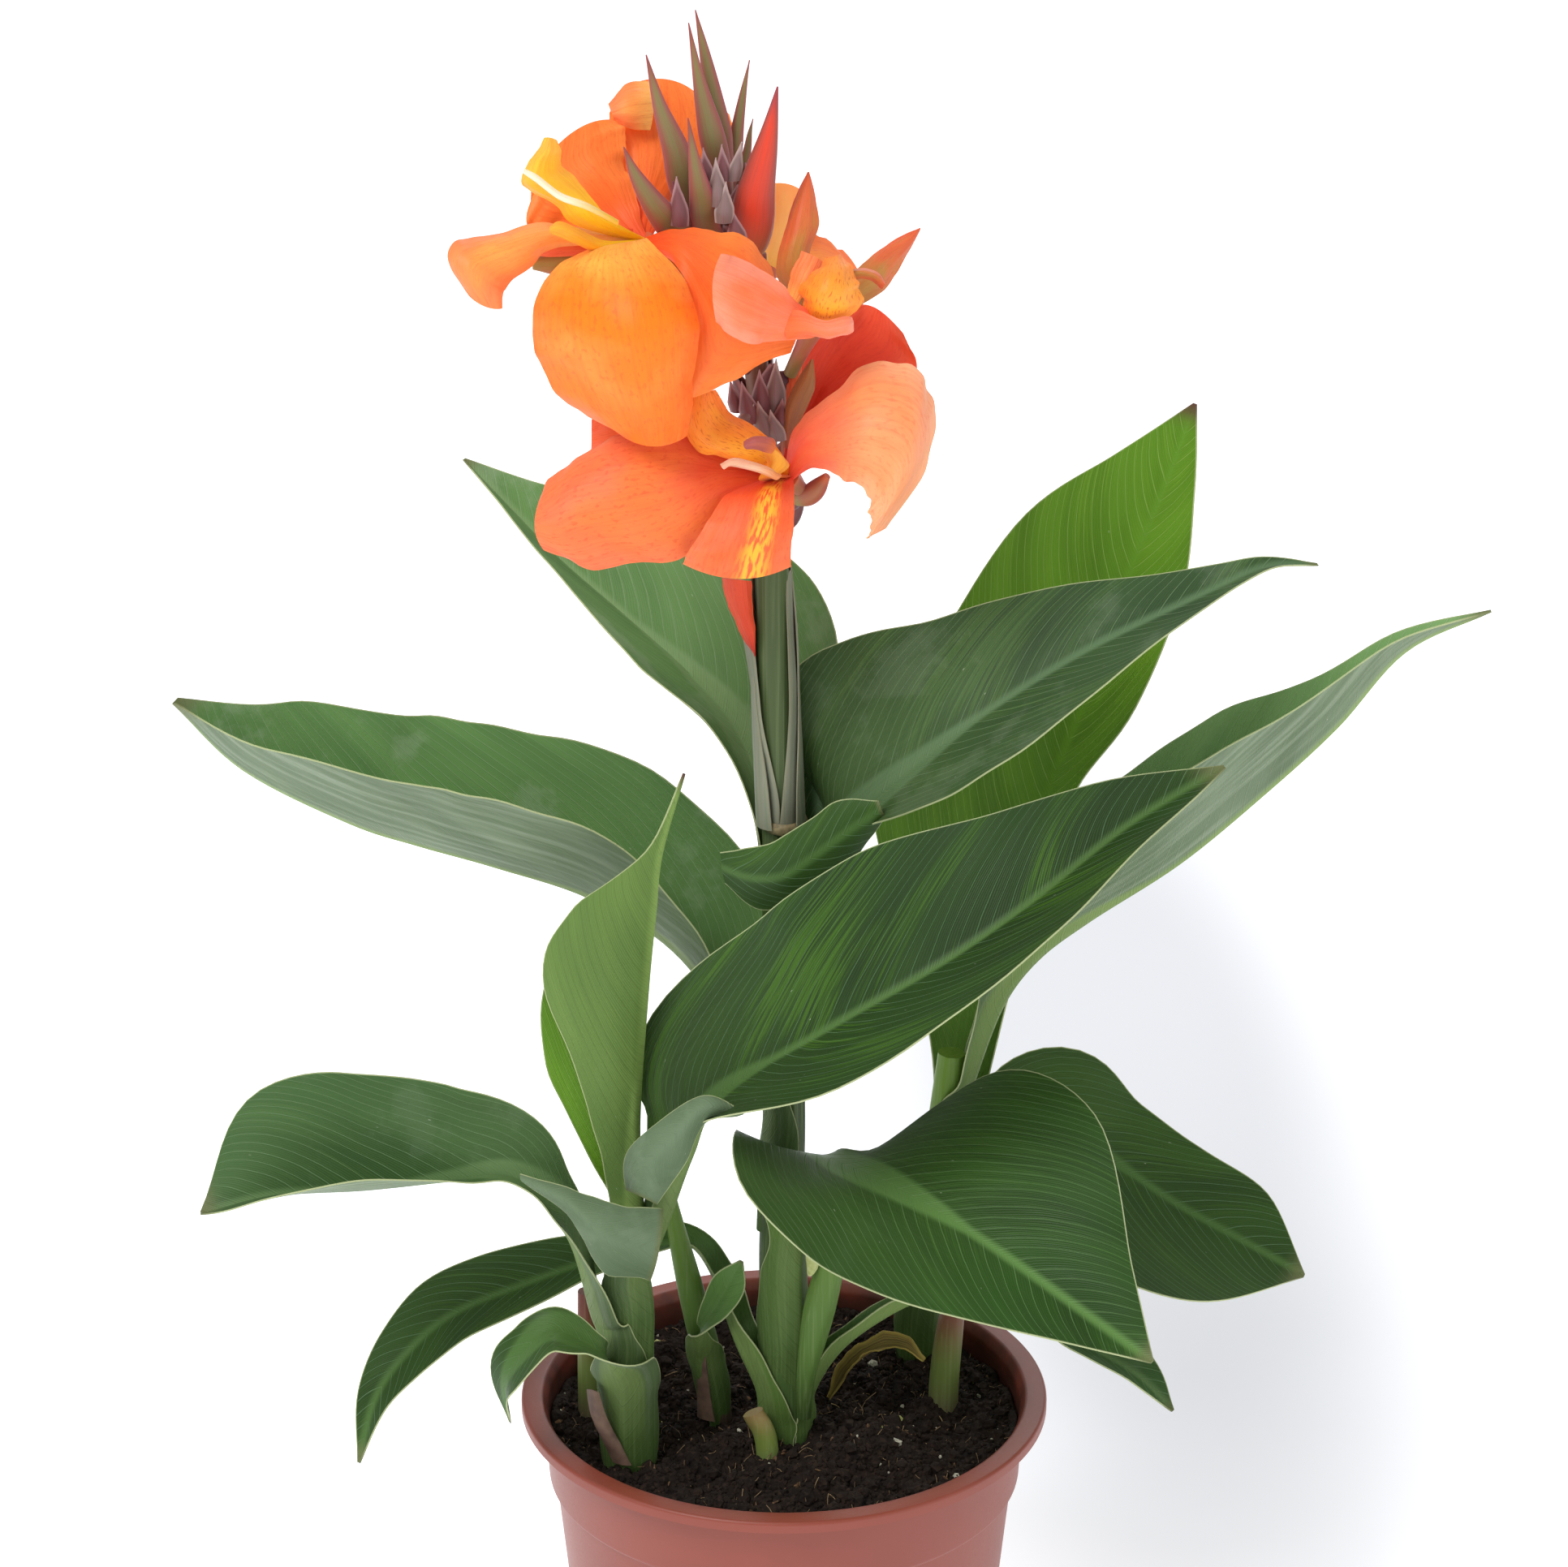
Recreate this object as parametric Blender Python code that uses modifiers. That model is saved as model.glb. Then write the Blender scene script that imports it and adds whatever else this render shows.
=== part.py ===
"""A canna lily in a plastic nursery pot. Metres, +Z up, origin at the centre of the pot's underside.

The pot is a thin moulded tub with a rolled rim and drain holes. It holds peat, and the rhizome lies in the
peat. Six shoots and the stub of a cut one rise from the rhizome, and leaves clasp them. The tallest shoot
carries the flower spike with four open blooms. Every length below is in millimetres, and MM turns it into
metres.
"""

import math

import bmesh
import bpy
import numpy as np
from mathutils import Vector

MM = 0.001
GAP = 0.3  # between pieces that lie against each other

# Pot
POT_HEIGHT = 150
RIM_RADIUS = 95
BASE_RADIUS = 71
STEP_HEIGHT = 118
STEP_RADIUS = 83
BAND_RADIUS = 87
POT_WALL = 1.6
LIP_DEPTH = 4
POT_SEGMENTS = 40
DRAIN_HOLES = 6
DRAIN_RADIUS = 5
DRAIN_RING = 52

# Peat and rhizome
PEAT_TOP = 139
PEAT_FLOOR = 2.2
PEAT_ROUGHNESS = 2.2
MOUND_HEIGHT = 6
PEAT_SEGMENTS = 24
SHOOT_FOOT = 100

# Blades
LEAF_THICKNESS = 0.9
MIDRIB_THICKNESS = 2.6
PETAL_THICKNESS = 0.8
LEAF_STEPS = 1
LEAF_RIBS = 3
PETAL_STEPS = 2
PETAL_RIBS = 2
BRACTS = 9
BRACT_TURN = 2.4  # radians from one bract to the next

# Centre lines of the shoots, each point (x, y, z, radius)
MAIN_STEM = ((1, -15, SHOOT_FOOT, 8.5), (1, -15, 152, 8.5), (-1, -14, 215, 7.7), (1, -12, 262, 6.5),
             (0, -11, 320, 6.3), (-1, -10, 368, 6.4), (-3, -10, 420, 6), (-4, -10, 463, 5.6))
LEFT_SHOOT = ((-55, -30, SHOOT_FOOT, 9.5), (-55, -30, 152, 9.5), (-55, -31, 196, 8.8), (-55, -32, 218, 7.4))
BACK_SHOOT = ((50, 48, SHOOT_FOOT, 7.8), (50, 48, 152, 7.8), (57, 47, 215, 6.8), (61, 46, 262, 5))
FRONT_SHOOT = ((-25, 1, SHOOT_FOOT, 5.6), (-25, 1, 146, 5.6), (-29, 1, 168, 5.2), (-34, 0, 192, 4.6),
               (-39, -2, 218, 3), (-42, -4, 240, 1))
FAR_SHOOT = ((-70.5, 3, SHOOT_FOOT, 4.4), (-70.5, 3, 150, 4.4), (-71, 2, 188, 3.2))
SHORT_SHOOT = ((58, 4, SHOOT_FOOT, 5.4), (58, 4, 146, 5.4), (60, 4, 172, 4.8), (62, 4, 184, 3.4))
CUT_STUB = ((-6, -31, SHOOT_FOOT, 4), (-6, -31, 143, 4), (-11, -29, 156, 3.8))
# The rhizome's branches; the feet of the shoots stand just above it
RHIZOME = (((-70, 5, 94, 5.7), (-66, -8, 91, 8), (-60, -21, 89, 10), (-50, -29, 88.7, 11), (-28, -29, 90, 9),
            (1, -15, 88.7, 11), (28, -3, 90, 9), (49, 0, 90.4, 9), (60, 10, 90.6, 9), (61, 28, 90, 8.6),
            (50, 48, 90.7, 9)),
           ((-9, -23, 90, 5), (-18, -11, 91.5, 6.6), (-25, 4, 92.7, 7)),
           ((0, -19, 88, 5), (-4, -27, 91, 6.4), (-6, -35, 93.7, 6)))
SPIKE_LINE = ((-4, -10, 463.6), (-6, -10, 500), (-10, -10, 540), (-15, -10, 572), (-20, -10, 600))


def unit(vectors):
    return vectors / np.linalg.norm(vectors, axis=-1, keepdims=True)


def link(obj, collection):
    for owner in list(obj.users_collection):
        owner.objects.unlink(obj)
    collection.objects.link(obj)
    return obj


def finish(name, hexadecimal, roughness):
    """A Principled material for one kind of surface, its colour given as sRGB hex."""
    found = bpy.data.materials.get(name)
    if found:
        return found
    made = bpy.data.materials.new(name)
    made.use_nodes = True
    shader = made.node_tree.nodes["Principled BSDF"]
    channels = [int(hexadecimal[i:i + 2], 16) / 255 for i in (0, 2, 4)]
    linear = [c / 12.92 if c <= 0.04045 else ((c + 0.055) / 1.055) ** 2.4 for c in channels]
    shader.inputs["Base Color"].default_value = (*linear, 1)
    shader.inputs["Roughness"].default_value = roughness
    made.diffuse_color = (*linear, 1)
    return made


def smooth(rows, count):
    """Rows along a smooth curve through the given ones, evenly spaced between the first and the last."""
    rows = np.asarray(rows, float)
    slopes = np.gradient(rows, axis=0)
    at = np.linspace(0, len(rows) - 1, count)
    span = np.minimum(at.astype(int), len(rows) - 2)
    u = (at - span)[:, None]
    return ((1 + 2 * u) * (1 - u) ** 2 * rows[span] + u * (1 - u) ** 2 * slopes[span]
            + u * u * (3 - 2 * u) * rows[span + 1] + u * u * (u - 1) * slopes[span + 1])


def spread(values, count):
    """A few values along a blade, read off at each of its control points."""
    columns = np.array(values, float)
    if columns.ndim < 2:
        columns = np.atleast_1d(columns)[:, None]
    knots = np.linspace(0, 1, len(columns))
    at = np.linspace(0, 1, count)
    return np.column_stack([np.interp(at, knots, column) for column in columns.T])


def blade_grid(midrib, left, right, fold, curl, faces, steps, ribs, wave=(0, 1, 0)):
    """The upper surface of a leaf or petal as a grid of points, from its base to its tip and from its left
    margin to its right one. left and right are half widths. fold turns each half up at the midrib and curl
    bends it further out to its margin, both in degrees as (left values, right values). faces is where the
    upper surface looks, and wave is the (height, count, phase) of the ruffle along both margins."""
    count = len(midrib)
    columns = [spread(values, count) for values in (left, right, *fold, *curl, faces)]
    stations = (count - 1) * steps + 1
    rows = smooth(np.column_stack([np.array(midrib, float), *columns]), stations)
    place = rows[:, :3]
    along = unit(np.gradient(place, axis=0))
    face = rows[:, 9:12]
    up = unit(face - (face * along).sum(1, keepdims=True) * along)
    out = np.cross(along, up)
    height, waves, phase = wave
    travel = np.linspace(0, 1, stations)
    grid = np.empty((stations, 2 * ribs + 1, 3))
    for side in (-1, 1):
        half = (side + 1) // 2
        width = np.maximum(rows[:, 3 + half], 0.5)
        start = np.radians(rows[:, 5 + half])
        bend = np.radians(rows[:, 7 + half])
        for rib in range(ribs + 1):
            share = rib / ribs
            turn = bend * share
            chord = width * share * np.sinc(turn / 2 / math.pi)
            across = chord * np.cos(start + turn / 2)
            lift = chord * np.sin(start + turn / 2)
            lift = lift + height * share ** 2 * np.sin(math.tau * (waves * travel + phase + 0.25 * side)) * \
                np.sin(math.pi * travel)
            grid[:, ribs + side * rib] = place + side * out * across[:, None] + up * lift[:, None]
    return grid


def sheet(name, grid, thickness, material, collection, rib_thickness=None, normals=None):
    """A closed thin solid on a grid of points, its two faces split into the same triangles."""
    stations, columns = grid.shape[:2]
    if normals is None:
        normals = unit(np.cross(np.gradient(grid, axis=0), np.gradient(grid, axis=1)))
    depth = np.full((stations, columns), float(thickness))
    if rib_thickness:
        depth[:, columns // 2] = np.linspace(rib_thickness, thickness, stations)
    under = grid + normals * depth[..., None]
    points = np.concatenate([grid.reshape(-1, 3), under.reshape(-1, 3)]) * MM
    below = stations * columns
    faces = []
    for i in range(stations - 1):
        for j in range(columns - 1):
            a, b = i * columns + j, i * columns + j + 1
            c, d = a + columns, b + columns
            faces += [(a, b, d), (a, d, c)]
            faces += [(below + a, below + d, below + b), (below + a, below + c, below + d)]
    rim = [i * columns for i in range(stations)] + [below - columns + j for j in range(1, columns)]
    rim += [i * columns + columns - 1 for i in range(stations - 2, -1, -1)] + list(range(columns - 2, 0, -1))
    for a, b in zip(rim, rim[1:] + rim[:1]):
        faces += [(a, b, below + b), (a, below + b, below + a)]
    return solid(name, points, faces, material, collection)


def solid(name, points, faces, material, collection):
    """A mesh object from points in metres, its faces turned outwards."""
    mesh = bpy.data.meshes.new(name)
    mesh.from_pydata([tuple(p) for p in points], [], faces)
    work = bmesh.new()
    work.from_mesh(mesh)
    bmesh.ops.recalc_face_normals(work, faces=work.faces)
    if work.calc_volume(signed=True) < 0:
        bmesh.ops.reverse_faces(work, faces=work.faces)
    work.to_mesh(mesh)
    work.free()
    mesh.materials.append(material)
    mesh.shade_smooth()
    return link(bpy.data.objects.new(name, mesh), collection)


def spindle(name, line, radii, flatness, faces, sides, material, collection):
    """A bud, bract or tube: rings round a curved line, flattened towards the way it faces."""
    rows = smooth(np.column_stack([np.array(line, float), spread(radii, len(line))]), len(radii))
    place = rows[:, :3]
    along = unit(np.gradient(place, axis=0))
    face = np.array(faces, float)
    up = unit(face - (along @ face)[:, None] * along)
    out = np.cross(along, up)
    turns = np.arange(sides) * math.tau / sides
    ring = np.cos(turns)[:, None, None] * out + flatness * np.sin(turns)[:, None, None] * up
    rings = [place[i] + max(radii[i], 0.25) * ring[:, i] for i in range(len(radii))]
    points = np.concatenate(rings) * MM
    faces_made = [tuple(range(sides)), tuple(range(len(points) - sides, len(points)))]
    for i in range(len(radii) - 1):
        for j in range(sides):
            a, b = i * sides + j, i * sides + (j + 1) % sides
            faces_made += [(a, b, b + sides), (a, b + sides, a + sides)]
    return solid(name, points, faces_made, material, collection)


def turned(name, profile, segments, material, collection):
    """A profile of (radius, height) points, from the top down its outer side, screwed round the Z axis."""
    mesh = bpy.data.meshes.new(name)
    points = [(r * MM, 0, z * MM) for r, z in profile]
    edges = [(i, i + 1) for i in range(len(points) - 1) if profile[i][0] or profile[i + 1][0]]
    mesh.from_pydata(points, edges, [])
    mesh.materials.append(material)
    obj = link(bpy.data.objects.new(name, mesh), collection)
    screw = obj.modifiers.new("Turn", "SCREW")
    screw.steps = screw.render_steps = segments
    screw.use_merge_vertices = True
    screw.merge_threshold = 0.0001
    return obj


def as_mesh(obj, collection):
    """The object's evaluated shape as a plain mesh object, its doubles merged. The first object is removed."""
    bpy.context.view_layer.update()
    graph = bpy.context.evaluated_depsgraph_get()
    mesh = bpy.data.meshes.new_from_object(obj.evaluated_get(graph))
    work = bmesh.new()
    work.from_mesh(mesh)
    bmesh.ops.remove_doubles(work, verts=work.verts, dist=0.00001)
    bmesh.ops.recalc_face_normals(work, faces=work.faces)
    work.to_mesh(mesh)
    work.free()
    made = bpy.data.objects.new("made", mesh)
    made.matrix_world = obj.matrix_world
    name = obj.name
    bpy.data.objects.remove(obj)
    made.name = name
    return link(made, collection)


def stem(name, line, material, collection, ends=0.0):
    """A shoot: a bevelled curve that follows the line, with the radius of each point."""
    rows = np.array(line, float)
    for end, inner in ((0, 1), (-1, -2)):
        rows[end, :3] += ends * unit(rows[end, :3] - rows[inner, :3])
    curve = bpy.data.curves.new(name, "CURVE")
    curve.dimensions = "3D"
    curve.bevel_depth = MM
    curve.bevel_resolution = 2
    curve.use_fill_caps = True
    curve.materials.append(material)
    spline = curve.splines.new("POLY")
    spline.points.add(len(rows) - 1)
    for point, (x, y, z, radius) in zip(spline.points, rows):
        point.co = (x * MM, y * MM, z * MM, 1)
        point.radius = radius
    return link(bpy.data.objects.new(name, curve), collection)


def stem_at(line, height):
    """(centre, radius) of a shoot at a height."""
    rows = np.array(line, float)
    values = [np.interp(height, rows[:, 2], column) for column in rows.T]
    return np.array(values[:3]), values[3]


def united(name, pieces, collection):
    """Several overlapping solids joined into one by a Boolean union, which is applied."""
    base, rest = pieces[0], pieces[1:]
    group = bpy.data.collections.new(name + "_repeats")
    bpy.context.scene.collection.children.link(group)
    for piece in rest:
        link(piece, group)
    union = base.modifiers.new("Join", "BOOLEAN")
    union.operation = "UNION"
    union.operand_type = "COLLECTION"
    union.collection = group
    union.solver = "EXACT"
    made = as_mesh(base, collection)
    for piece in rest:
        bpy.data.objects.remove(piece)
    bpy.data.collections.remove(group)
    made.name = name
    return made


def clasp(shoot, height, azimuth, wrap=2.2, off=0.0):
    """A station of a leaf base that lies round its shoot: (place, half width, curl in degrees, facing)."""
    away = np.array([math.cos(math.radians(azimuth)), math.sin(math.radians(azimuth)), 0])
    centre, radius = stem_at(shoot, height)
    reach = (radius + 1.5 * GAP + off) / math.cos(wrap / 2 / LEAF_RIBS + 0.06)
    return centre + away * reach, wrap * reach, math.degrees(wrap), -away


def leaf(name, foot, midrib, left, right, fold, curl, faces, material, collection, wave=(0, 1, 0)):
    """A leaf whose base clasps its shoot at the foot stations and then leans out along its midrib."""
    count = len(midrib)
    line = [place for place, _, _, _ in foot] + [np.array(p, float) for p in midrib]
    half = [width for _, width, _, _ in foot]
    bend = [turn for _, _, turn, _ in foot]
    level = [0.0] * len(foot)
    looks = [look for _, _, _, look in foot] + list(spread(faces, count))

    def with_foot(values, start):
        return start + list(spread(values, count)[:, 0])

    grid = blade_grid(line, with_foot(left, half), with_foot(right, half),
                      [with_foot(values, level) for values in fold],
                      [with_foot(values, bend) for values in curl], looks, LEAF_STEPS, LEAF_RIBS, wave)
    return sheet(name, grid, LEAF_THICKNESS, material, collection, MIDRIB_THICKNESS)


def petal(name, midrib, half, fold, curl, faces, material, collection):
    """A narrow blade, the same on both sides of its midrib."""
    grid = blade_grid(midrib, half, half, ((fold,), (fold,)), ((curl,), (curl,)), (faces,), PETAL_STEPS,
                      PETAL_RIBS)
    return sheet(name, grid, PETAL_THICKNESS, material, collection)


def mean_normals(grid):
    """For each point of the grid the mean normal of the triangles round it, which holds at sharp bends too."""
    a, b, c, d = grid[:-1, :-1], grid[:-1, 1:], grid[1:, :-1], grid[1:, 1:]
    near = unit(np.cross(d - a, b - a))
    far = unit(np.cross(c - a, d - a))
    total = np.zeros_like(grid)
    total[:-1, :-1] += near + far
    total[:-1, 1:] += near
    total[1:, :-1] += far
    total[1:, 1:] += near + far
    return unit(total)


def net(rows, material, collection):
    """A petal, lip or petal-like stamen from rows of (left margin, middle, right margin), from its base to its
    tip. It bows through the middle points."""
    rows = np.array(rows, float)
    stations = (len(rows) - 1) * PETAL_STEPS + 1
    drawn = smooth(rows.reshape(len(rows), 9), stations).reshape(stations, 1, 3, 3)
    u = np.linspace(-1, 1, 2 * PETAL_RIBS + 1)[None, :, None]
    grid = drawn[:, :, 0] * (u * u - u) / 2 + drawn[:, :, 1] * (1 - u * u) + drawn[:, :, 2] * (u * u + u) / 2
    return sheet("petal", grid, PETAL_THICKNESS, material, collection, normals=mean_normals(grid))


def bud(line, width, material, collection, facing=(0, -1, 0.2), flatness=0.55):
    """A long pointed bud, widest a third of the way up."""
    radii = [width * share for share in (0.45, 0.9, 1.0, 0.72, 0.36, 0.08)]
    return spindle("bud", line, radii, flatness, facing, 6, material, collection)


def make_pot(material, collection, cutters):
    inner_floor = 1.8
    outside = ((RIM_RADIUS, POT_HEIGHT - LIP_DEPTH), (RIM_RADIUS - 1.2, POT_HEIGHT - LIP_DEPTH),
               (RIM_RADIUS - 2, POT_HEIGHT - 2), (BAND_RADIUS + 1.5, POT_HEIGHT - 2.2),
               (BAND_RADIUS, POT_HEIGHT - 5), (STEP_RADIUS + 2.4, STEP_HEIGHT + 1.5), (STEP_RADIUS, STEP_HEIGHT),
               (BASE_RADIUS + 0.6, 3), (BASE_RADIUS - 1.5, 0), (0, 0))
    inside = ((0, inner_floor), (BASE_RADIUS - 2.4, inner_floor), (BASE_RADIUS + 0.6 - POT_WALL, 3.6),
              (STEP_RADIUS - POT_WALL, STEP_HEIGHT), (STEP_RADIUS + 2.4 - POT_WALL, STEP_HEIGHT + 1.5),
              (BAND_RADIUS - POT_WALL, POT_HEIGHT - 4), (BAND_RADIUS + 0.4, POT_HEIGHT),
              (RIM_RADIUS - 0.8, POT_HEIGHT), (RIM_RADIUS, POT_HEIGHT - 0.8),
              (RIM_RADIUS, POT_HEIGHT - LIP_DEPTH))
    pot = as_mesh(turned("pot", outside + inside, POT_SEGMENTS, material, collection), collection)
    pot.data.set_sharp_from_angle(angle=math.radians(30))
    for index in range(DRAIN_HOLES):
        turn = math.tau * (index + 0.27) / DRAIN_HOLES
        bpy.ops.mesh.primitive_cylinder_add(
            vertices=8, radius=DRAIN_RADIUS * MM, depth=8 * MM, rotation=(0, 0, turn),
            location=(DRAIN_RING * math.cos(turn) * MM, DRAIN_RING * math.sin(turn) * MM, MM))
        cutter = link(bpy.context.object, cutters)
        cutter.name = f"drain_cutter_{index}"
        cut(pot, cutter)
    return pot


def cut(obj, cutter):
    """Takes the cutter away from the object, and keeps the cutter out of the picture."""
    cutter.hide_render = True
    cutter.display_type = "WIRE"
    hole = obj.modifiers.new("Cut " + cutter.name, "BOOLEAN")
    hole.operation = "DIFFERENCE"
    hole.object = cutter
    hole.solver = "EXACT"


def split_flat(mesh):
    """Every face of the mesh split into triangles, so that none of them is bent."""
    work = bmesh.new()
    work.from_mesh(mesh)
    bmesh.ops.triangulate(work, faces=work.faces)
    work.to_mesh(mesh)
    work.free()


def peat_height(x, y):
    """The uneven top of the peat: low waves, and a mound right of the middle where the rhizome lies high."""
    ripple = math.sin(0.11 * x + 1) * math.cos(0.13 * y) + 0.6 * math.sin(0.23 * x - 0.19 * y + 2)
    mound = math.exp(-((x - 28) ** 2 + (y + 28) ** 2) / 700)
    edge = min(1.0, max(0.0, 3 - 3 * math.hypot(x, y) / (BAND_RADIUS - 4)))
    return PEAT_TOP + (PEAT_ROUGHNESS * ripple + MOUND_HEIGHT * mound) * edge


def make_peat(material, collection, cutters):
    reach = POT_WALL + 2 * GAP
    slope = (BAND_RADIUS - STEP_RADIUS - 2.4) / (POT_HEIGHT - 5 - STEP_HEIGHT - 1.5)
    edge = STEP_RADIUS + 2.4 + (PEAT_TOP - STEP_HEIGHT - 1.5) * slope - reach
    profile = [(r, PEAT_TOP) for r in (0, 14, 28, 42, 56, 70)]
    profile += [(edge, PEAT_TOP), (STEP_RADIUS + 2.4 - reach, STEP_HEIGHT + 1.5),
                (STEP_RADIUS - reach, STEP_HEIGHT), (BASE_RADIUS + 0.6 - reach - GAP, 4.6),
                (BASE_RADIUS - 3.2, PEAT_FLOOR), (0, PEAT_FLOOR)]
    peat = as_mesh(turned("peat", profile, PEAT_SEGMENTS, material, collection), collection)
    for vertex in peat.data.vertices:
        x, y, z = vertex.co / MM
        if z > PEAT_TOP - 0.5:
            vertex.co.z = peat_height(x, y) * MM
    split_flat(peat.data)
    shoots = (MAIN_STEM, LEFT_SHOOT, BACK_SHOOT, FRONT_SHOOT, FAR_SHOOT, SHORT_SHOOT, CUT_STUB)
    for index, line in enumerate(shoots):
        x, y, foot, radius = line[0]
        bpy.ops.mesh.primitive_cylinder_add(vertices=8, radius=(radius + GAP) / math.cos(math.pi / 8) * MM,
                                            depth=80 * MM, location=(x * MM, y * MM, (foot + 34.5) * MM),
                                            rotation=(0, 0, 0.2 + 0.1 * index))
        cutter = link(bpy.context.object, cutters)
        cutter.name = f"shoot_cutter_{index}"
        cut(peat, cutter)
    cut(peat, make_rhizome("rhizome_cutter", material, cutters, 1.6 * GAP))
    return peat


def make_rhizome(name, material, collection, extra=0.0):
    """The branches joined into one body. The peat's hollow is the same shape, made larger all round."""
    branches = []
    for points in RHIZOME:
        line = [(x, y, z, radius + extra) for x, y, z, radius in points]
        branches.append(as_mesh(stem(name, line, material, collection, ends=extra), collection))
    return united(name, branches, collection)


def make_leaves(green, plant):
    leaf("leaf_front", (clasp(LEFT_SHOOT, 205, -30), clasp(LEFT_SHOOT, 215, -30, 1.8)),
         ((-41, -39, 236), (-32, -45, 264), (-21, -52, 290), (15, -71, 322), (51, -77, 347), (80, -73, 367),
          (112, -58, 388), (145, -44, 404)),
         (10, 22, 40, 45, 45, 34, 18, 0.6), (14, 22, 27, 35, 36, 30, 16, 0.6),
         ((20, 10, 5, 10, 8, 8, 8, 8), (30, 40, 28, 36, 45, 48, 40, 30)),
         ((60, 40, 20, 10, 10, 10, 10, 10), (90, 90, 40, 0, 0, 0, 10, 10)),
         ((-0.8, 0, 0.5), (-0.4, -0.6, 0.6), (-0.2, -0.75, 0.6), (-0.2, -0.75, 0.6), (-0.2, -0.8, 0.55)),
         green, plant)
    leaf("leaf_front_right", (clasp(MAIN_STEM, 184, -50, off=0.3), clasp(MAIN_STEM, 206, -50, 1.8, 0.3),
                              clasp(MAIN_STEM, 226, -50, 1.2, 3)),
         ((10, -33, 257), (22, -54, 264), (42, -72, 262), (68, -98, 256), (98, -128, 246), (117, -148, 240)),
         (7, 14, 52, 56, 22, 0.6), (38, 42, 38, 33, 14, 0.6),
         ((0, 5, 8, 8, 8, 8), (0, 0, 0, 0, 0, 0)), ((40, 20, 10, 10, 10, 10), (20, 10, 10, 10, 10, 10)),
         ((0.25, 0.2, 1), (0.1, -0.2, 1), (-0.17, -0.44, 0.8), (-0.17, -0.44, 0.8), (-0.1, -0.45, 0.8),
          (-0.1, -0.45, 0.8)), green, plant)
    leaf("leaf_left_long", (clasp(MAIN_STEM, 250, 175, off=0.4), clasp(MAIN_STEM, 270, 175, 1.8, 0.4)),
         ((-18, -8, 296), (-38, -2, 322), (-67, 2, 340), (-99, -2, 353), (-125, -5, 362), (-148, -10, 372),
          (-182, -16, 393), (-204, -20, 418)),
         (12, 24, 38, 42, 42, 38, 24, 0.6), (16, 40, 50, 48, 44, 40, 26, 0.6),
         ((30, 50, 58, 58, 50), (20, 50, 58, 58, 50)), ((50, 20, 5, 5), (50, 20, 5, 5)),
         ((0.5, -0.2, 0.9), (0, -0.24, 0.97), (0, -0.24, 0.97)), green, plant)
    leaf("leaf_left_low", (clasp(LEFT_SHOOT, 181, 195), clasp(LEFT_SHOOT, 190, 195, 1.8),
                           clasp(LEFT_SHOOT, 199, 195, 1.1, 3)),
         ((-72, -42, 228), (-81, -48, 244), (-94, -53, 251), (-112, -58, 253), (-141, -64, 257),
          (-171, -68, 260), (-196, -70, 254)),
         (12, 14, 16, 22, 28, 22, 0.6), (10, 15, 32, 43, 46, 38, 0.6),
         ((-10, -20, 20, 40, 50, 40, 30), (20, 40, 50, 55, 55, 50, 30)),
         ((60, 40, 10, 5, 5, 5, 5), (20, 10, 5, 5, 5, 5, 5)),
         ((0.5, -0.2, 0.8), (0.2, -0.3, 0.9), (0, -0.34, 0.94), (0, -0.34, 0.94)), green, plant)
    leaf("leaf_right_long", (clasp(BACK_SHOOT, 224, -15, off=0.2), clasp(BACK_SHOOT, 240, -15, 1.8, 0.2),
                             clasp(BACK_SHOOT, 254, -15, 1.1, 3)),
         ((78, 39, 284), (90, 34, 304), (108, 29, 321), (138, 20, 346), (165, 10, 375), (188, 2, 402),
          (209, -4, 431), (236, -10, 447)),
         (10, 22, 34, 38, 34, 20, 8, 0.6), (10, 22, 32, 38, 34, 22, 8, 0.6),
         ((30, 50, 52, 52, 50), (30, 50, 52, 52, 50)), ((50, 10, 5, 5), (50, 10, 5, 5)),
         ((-0.4, 0, 1), (0, -0.1, 1), (0, -0.1, 1)), green, plant)
    leaf("leaf_right_upper", (clasp(MAIN_STEM, 306, -20), clasp(MAIN_STEM, 324, -20, 1.8),
                              clasp(MAIN_STEM, 338, -25, 1.4, 2.5)),
         ((14, -19, 358), (25, -24, 380), (46, -27, 400), (68, -28, 418), (100, -25, 438), (138, -18, 455),
          (160, -12, 463), (178, -6, 462)),
         (16, 52, 50, 38, 26, 11, 4, 0.6), (42, 30, 34, 34, 26, 10, 4, 0.6),
         ((0, 5, 10, 10, 10, 10, 10, 10), (0, 15, 25, 25, 25, 30, 40, 50)),
         ((50, 30, 10, 5, 5, 5, 5, 5), (100, 40, 10, 5, 5, 5, 5, 5)),
         ((-0.9, 0.2, 0.3), (-0.4, -0.6, 0.65), (-0.25, -0.65, 0.7), (-0.2, -0.6, 0.75), (-0.2, -0.6, 0.75),
          (-0.2, -0.6, 0.75), (-0.2, -0.6, 0.75), (-0.2, -0.6, 0.75)), green, plant)
    leaf("leaf_back_left", (clasp(MAIN_STEM, 344, 110), clasp(MAIN_STEM, 357, 110, 1.7)),
         ((-8, 8, 378), (-18, 28, 395), (-34, 46, 408), (-56, 60, 424), (-79, 72, 441), (-97, 82, 457),
          (-114, 90, 473)),
         (12, 26, 35, 33, 23, 10, 0.6), (14, 46, 54, 47, 32, 14, 0.6),
         ((20, 50, 60, 60), (10, 10, 5, 5)), ((50, 10, 5, 5), (50, 10, 5, 5)),
         ((0.3, -0.8, 0.3), (0, -0.7, 0.7), (0, -0.7, 0.7)), green, plant)
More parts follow.
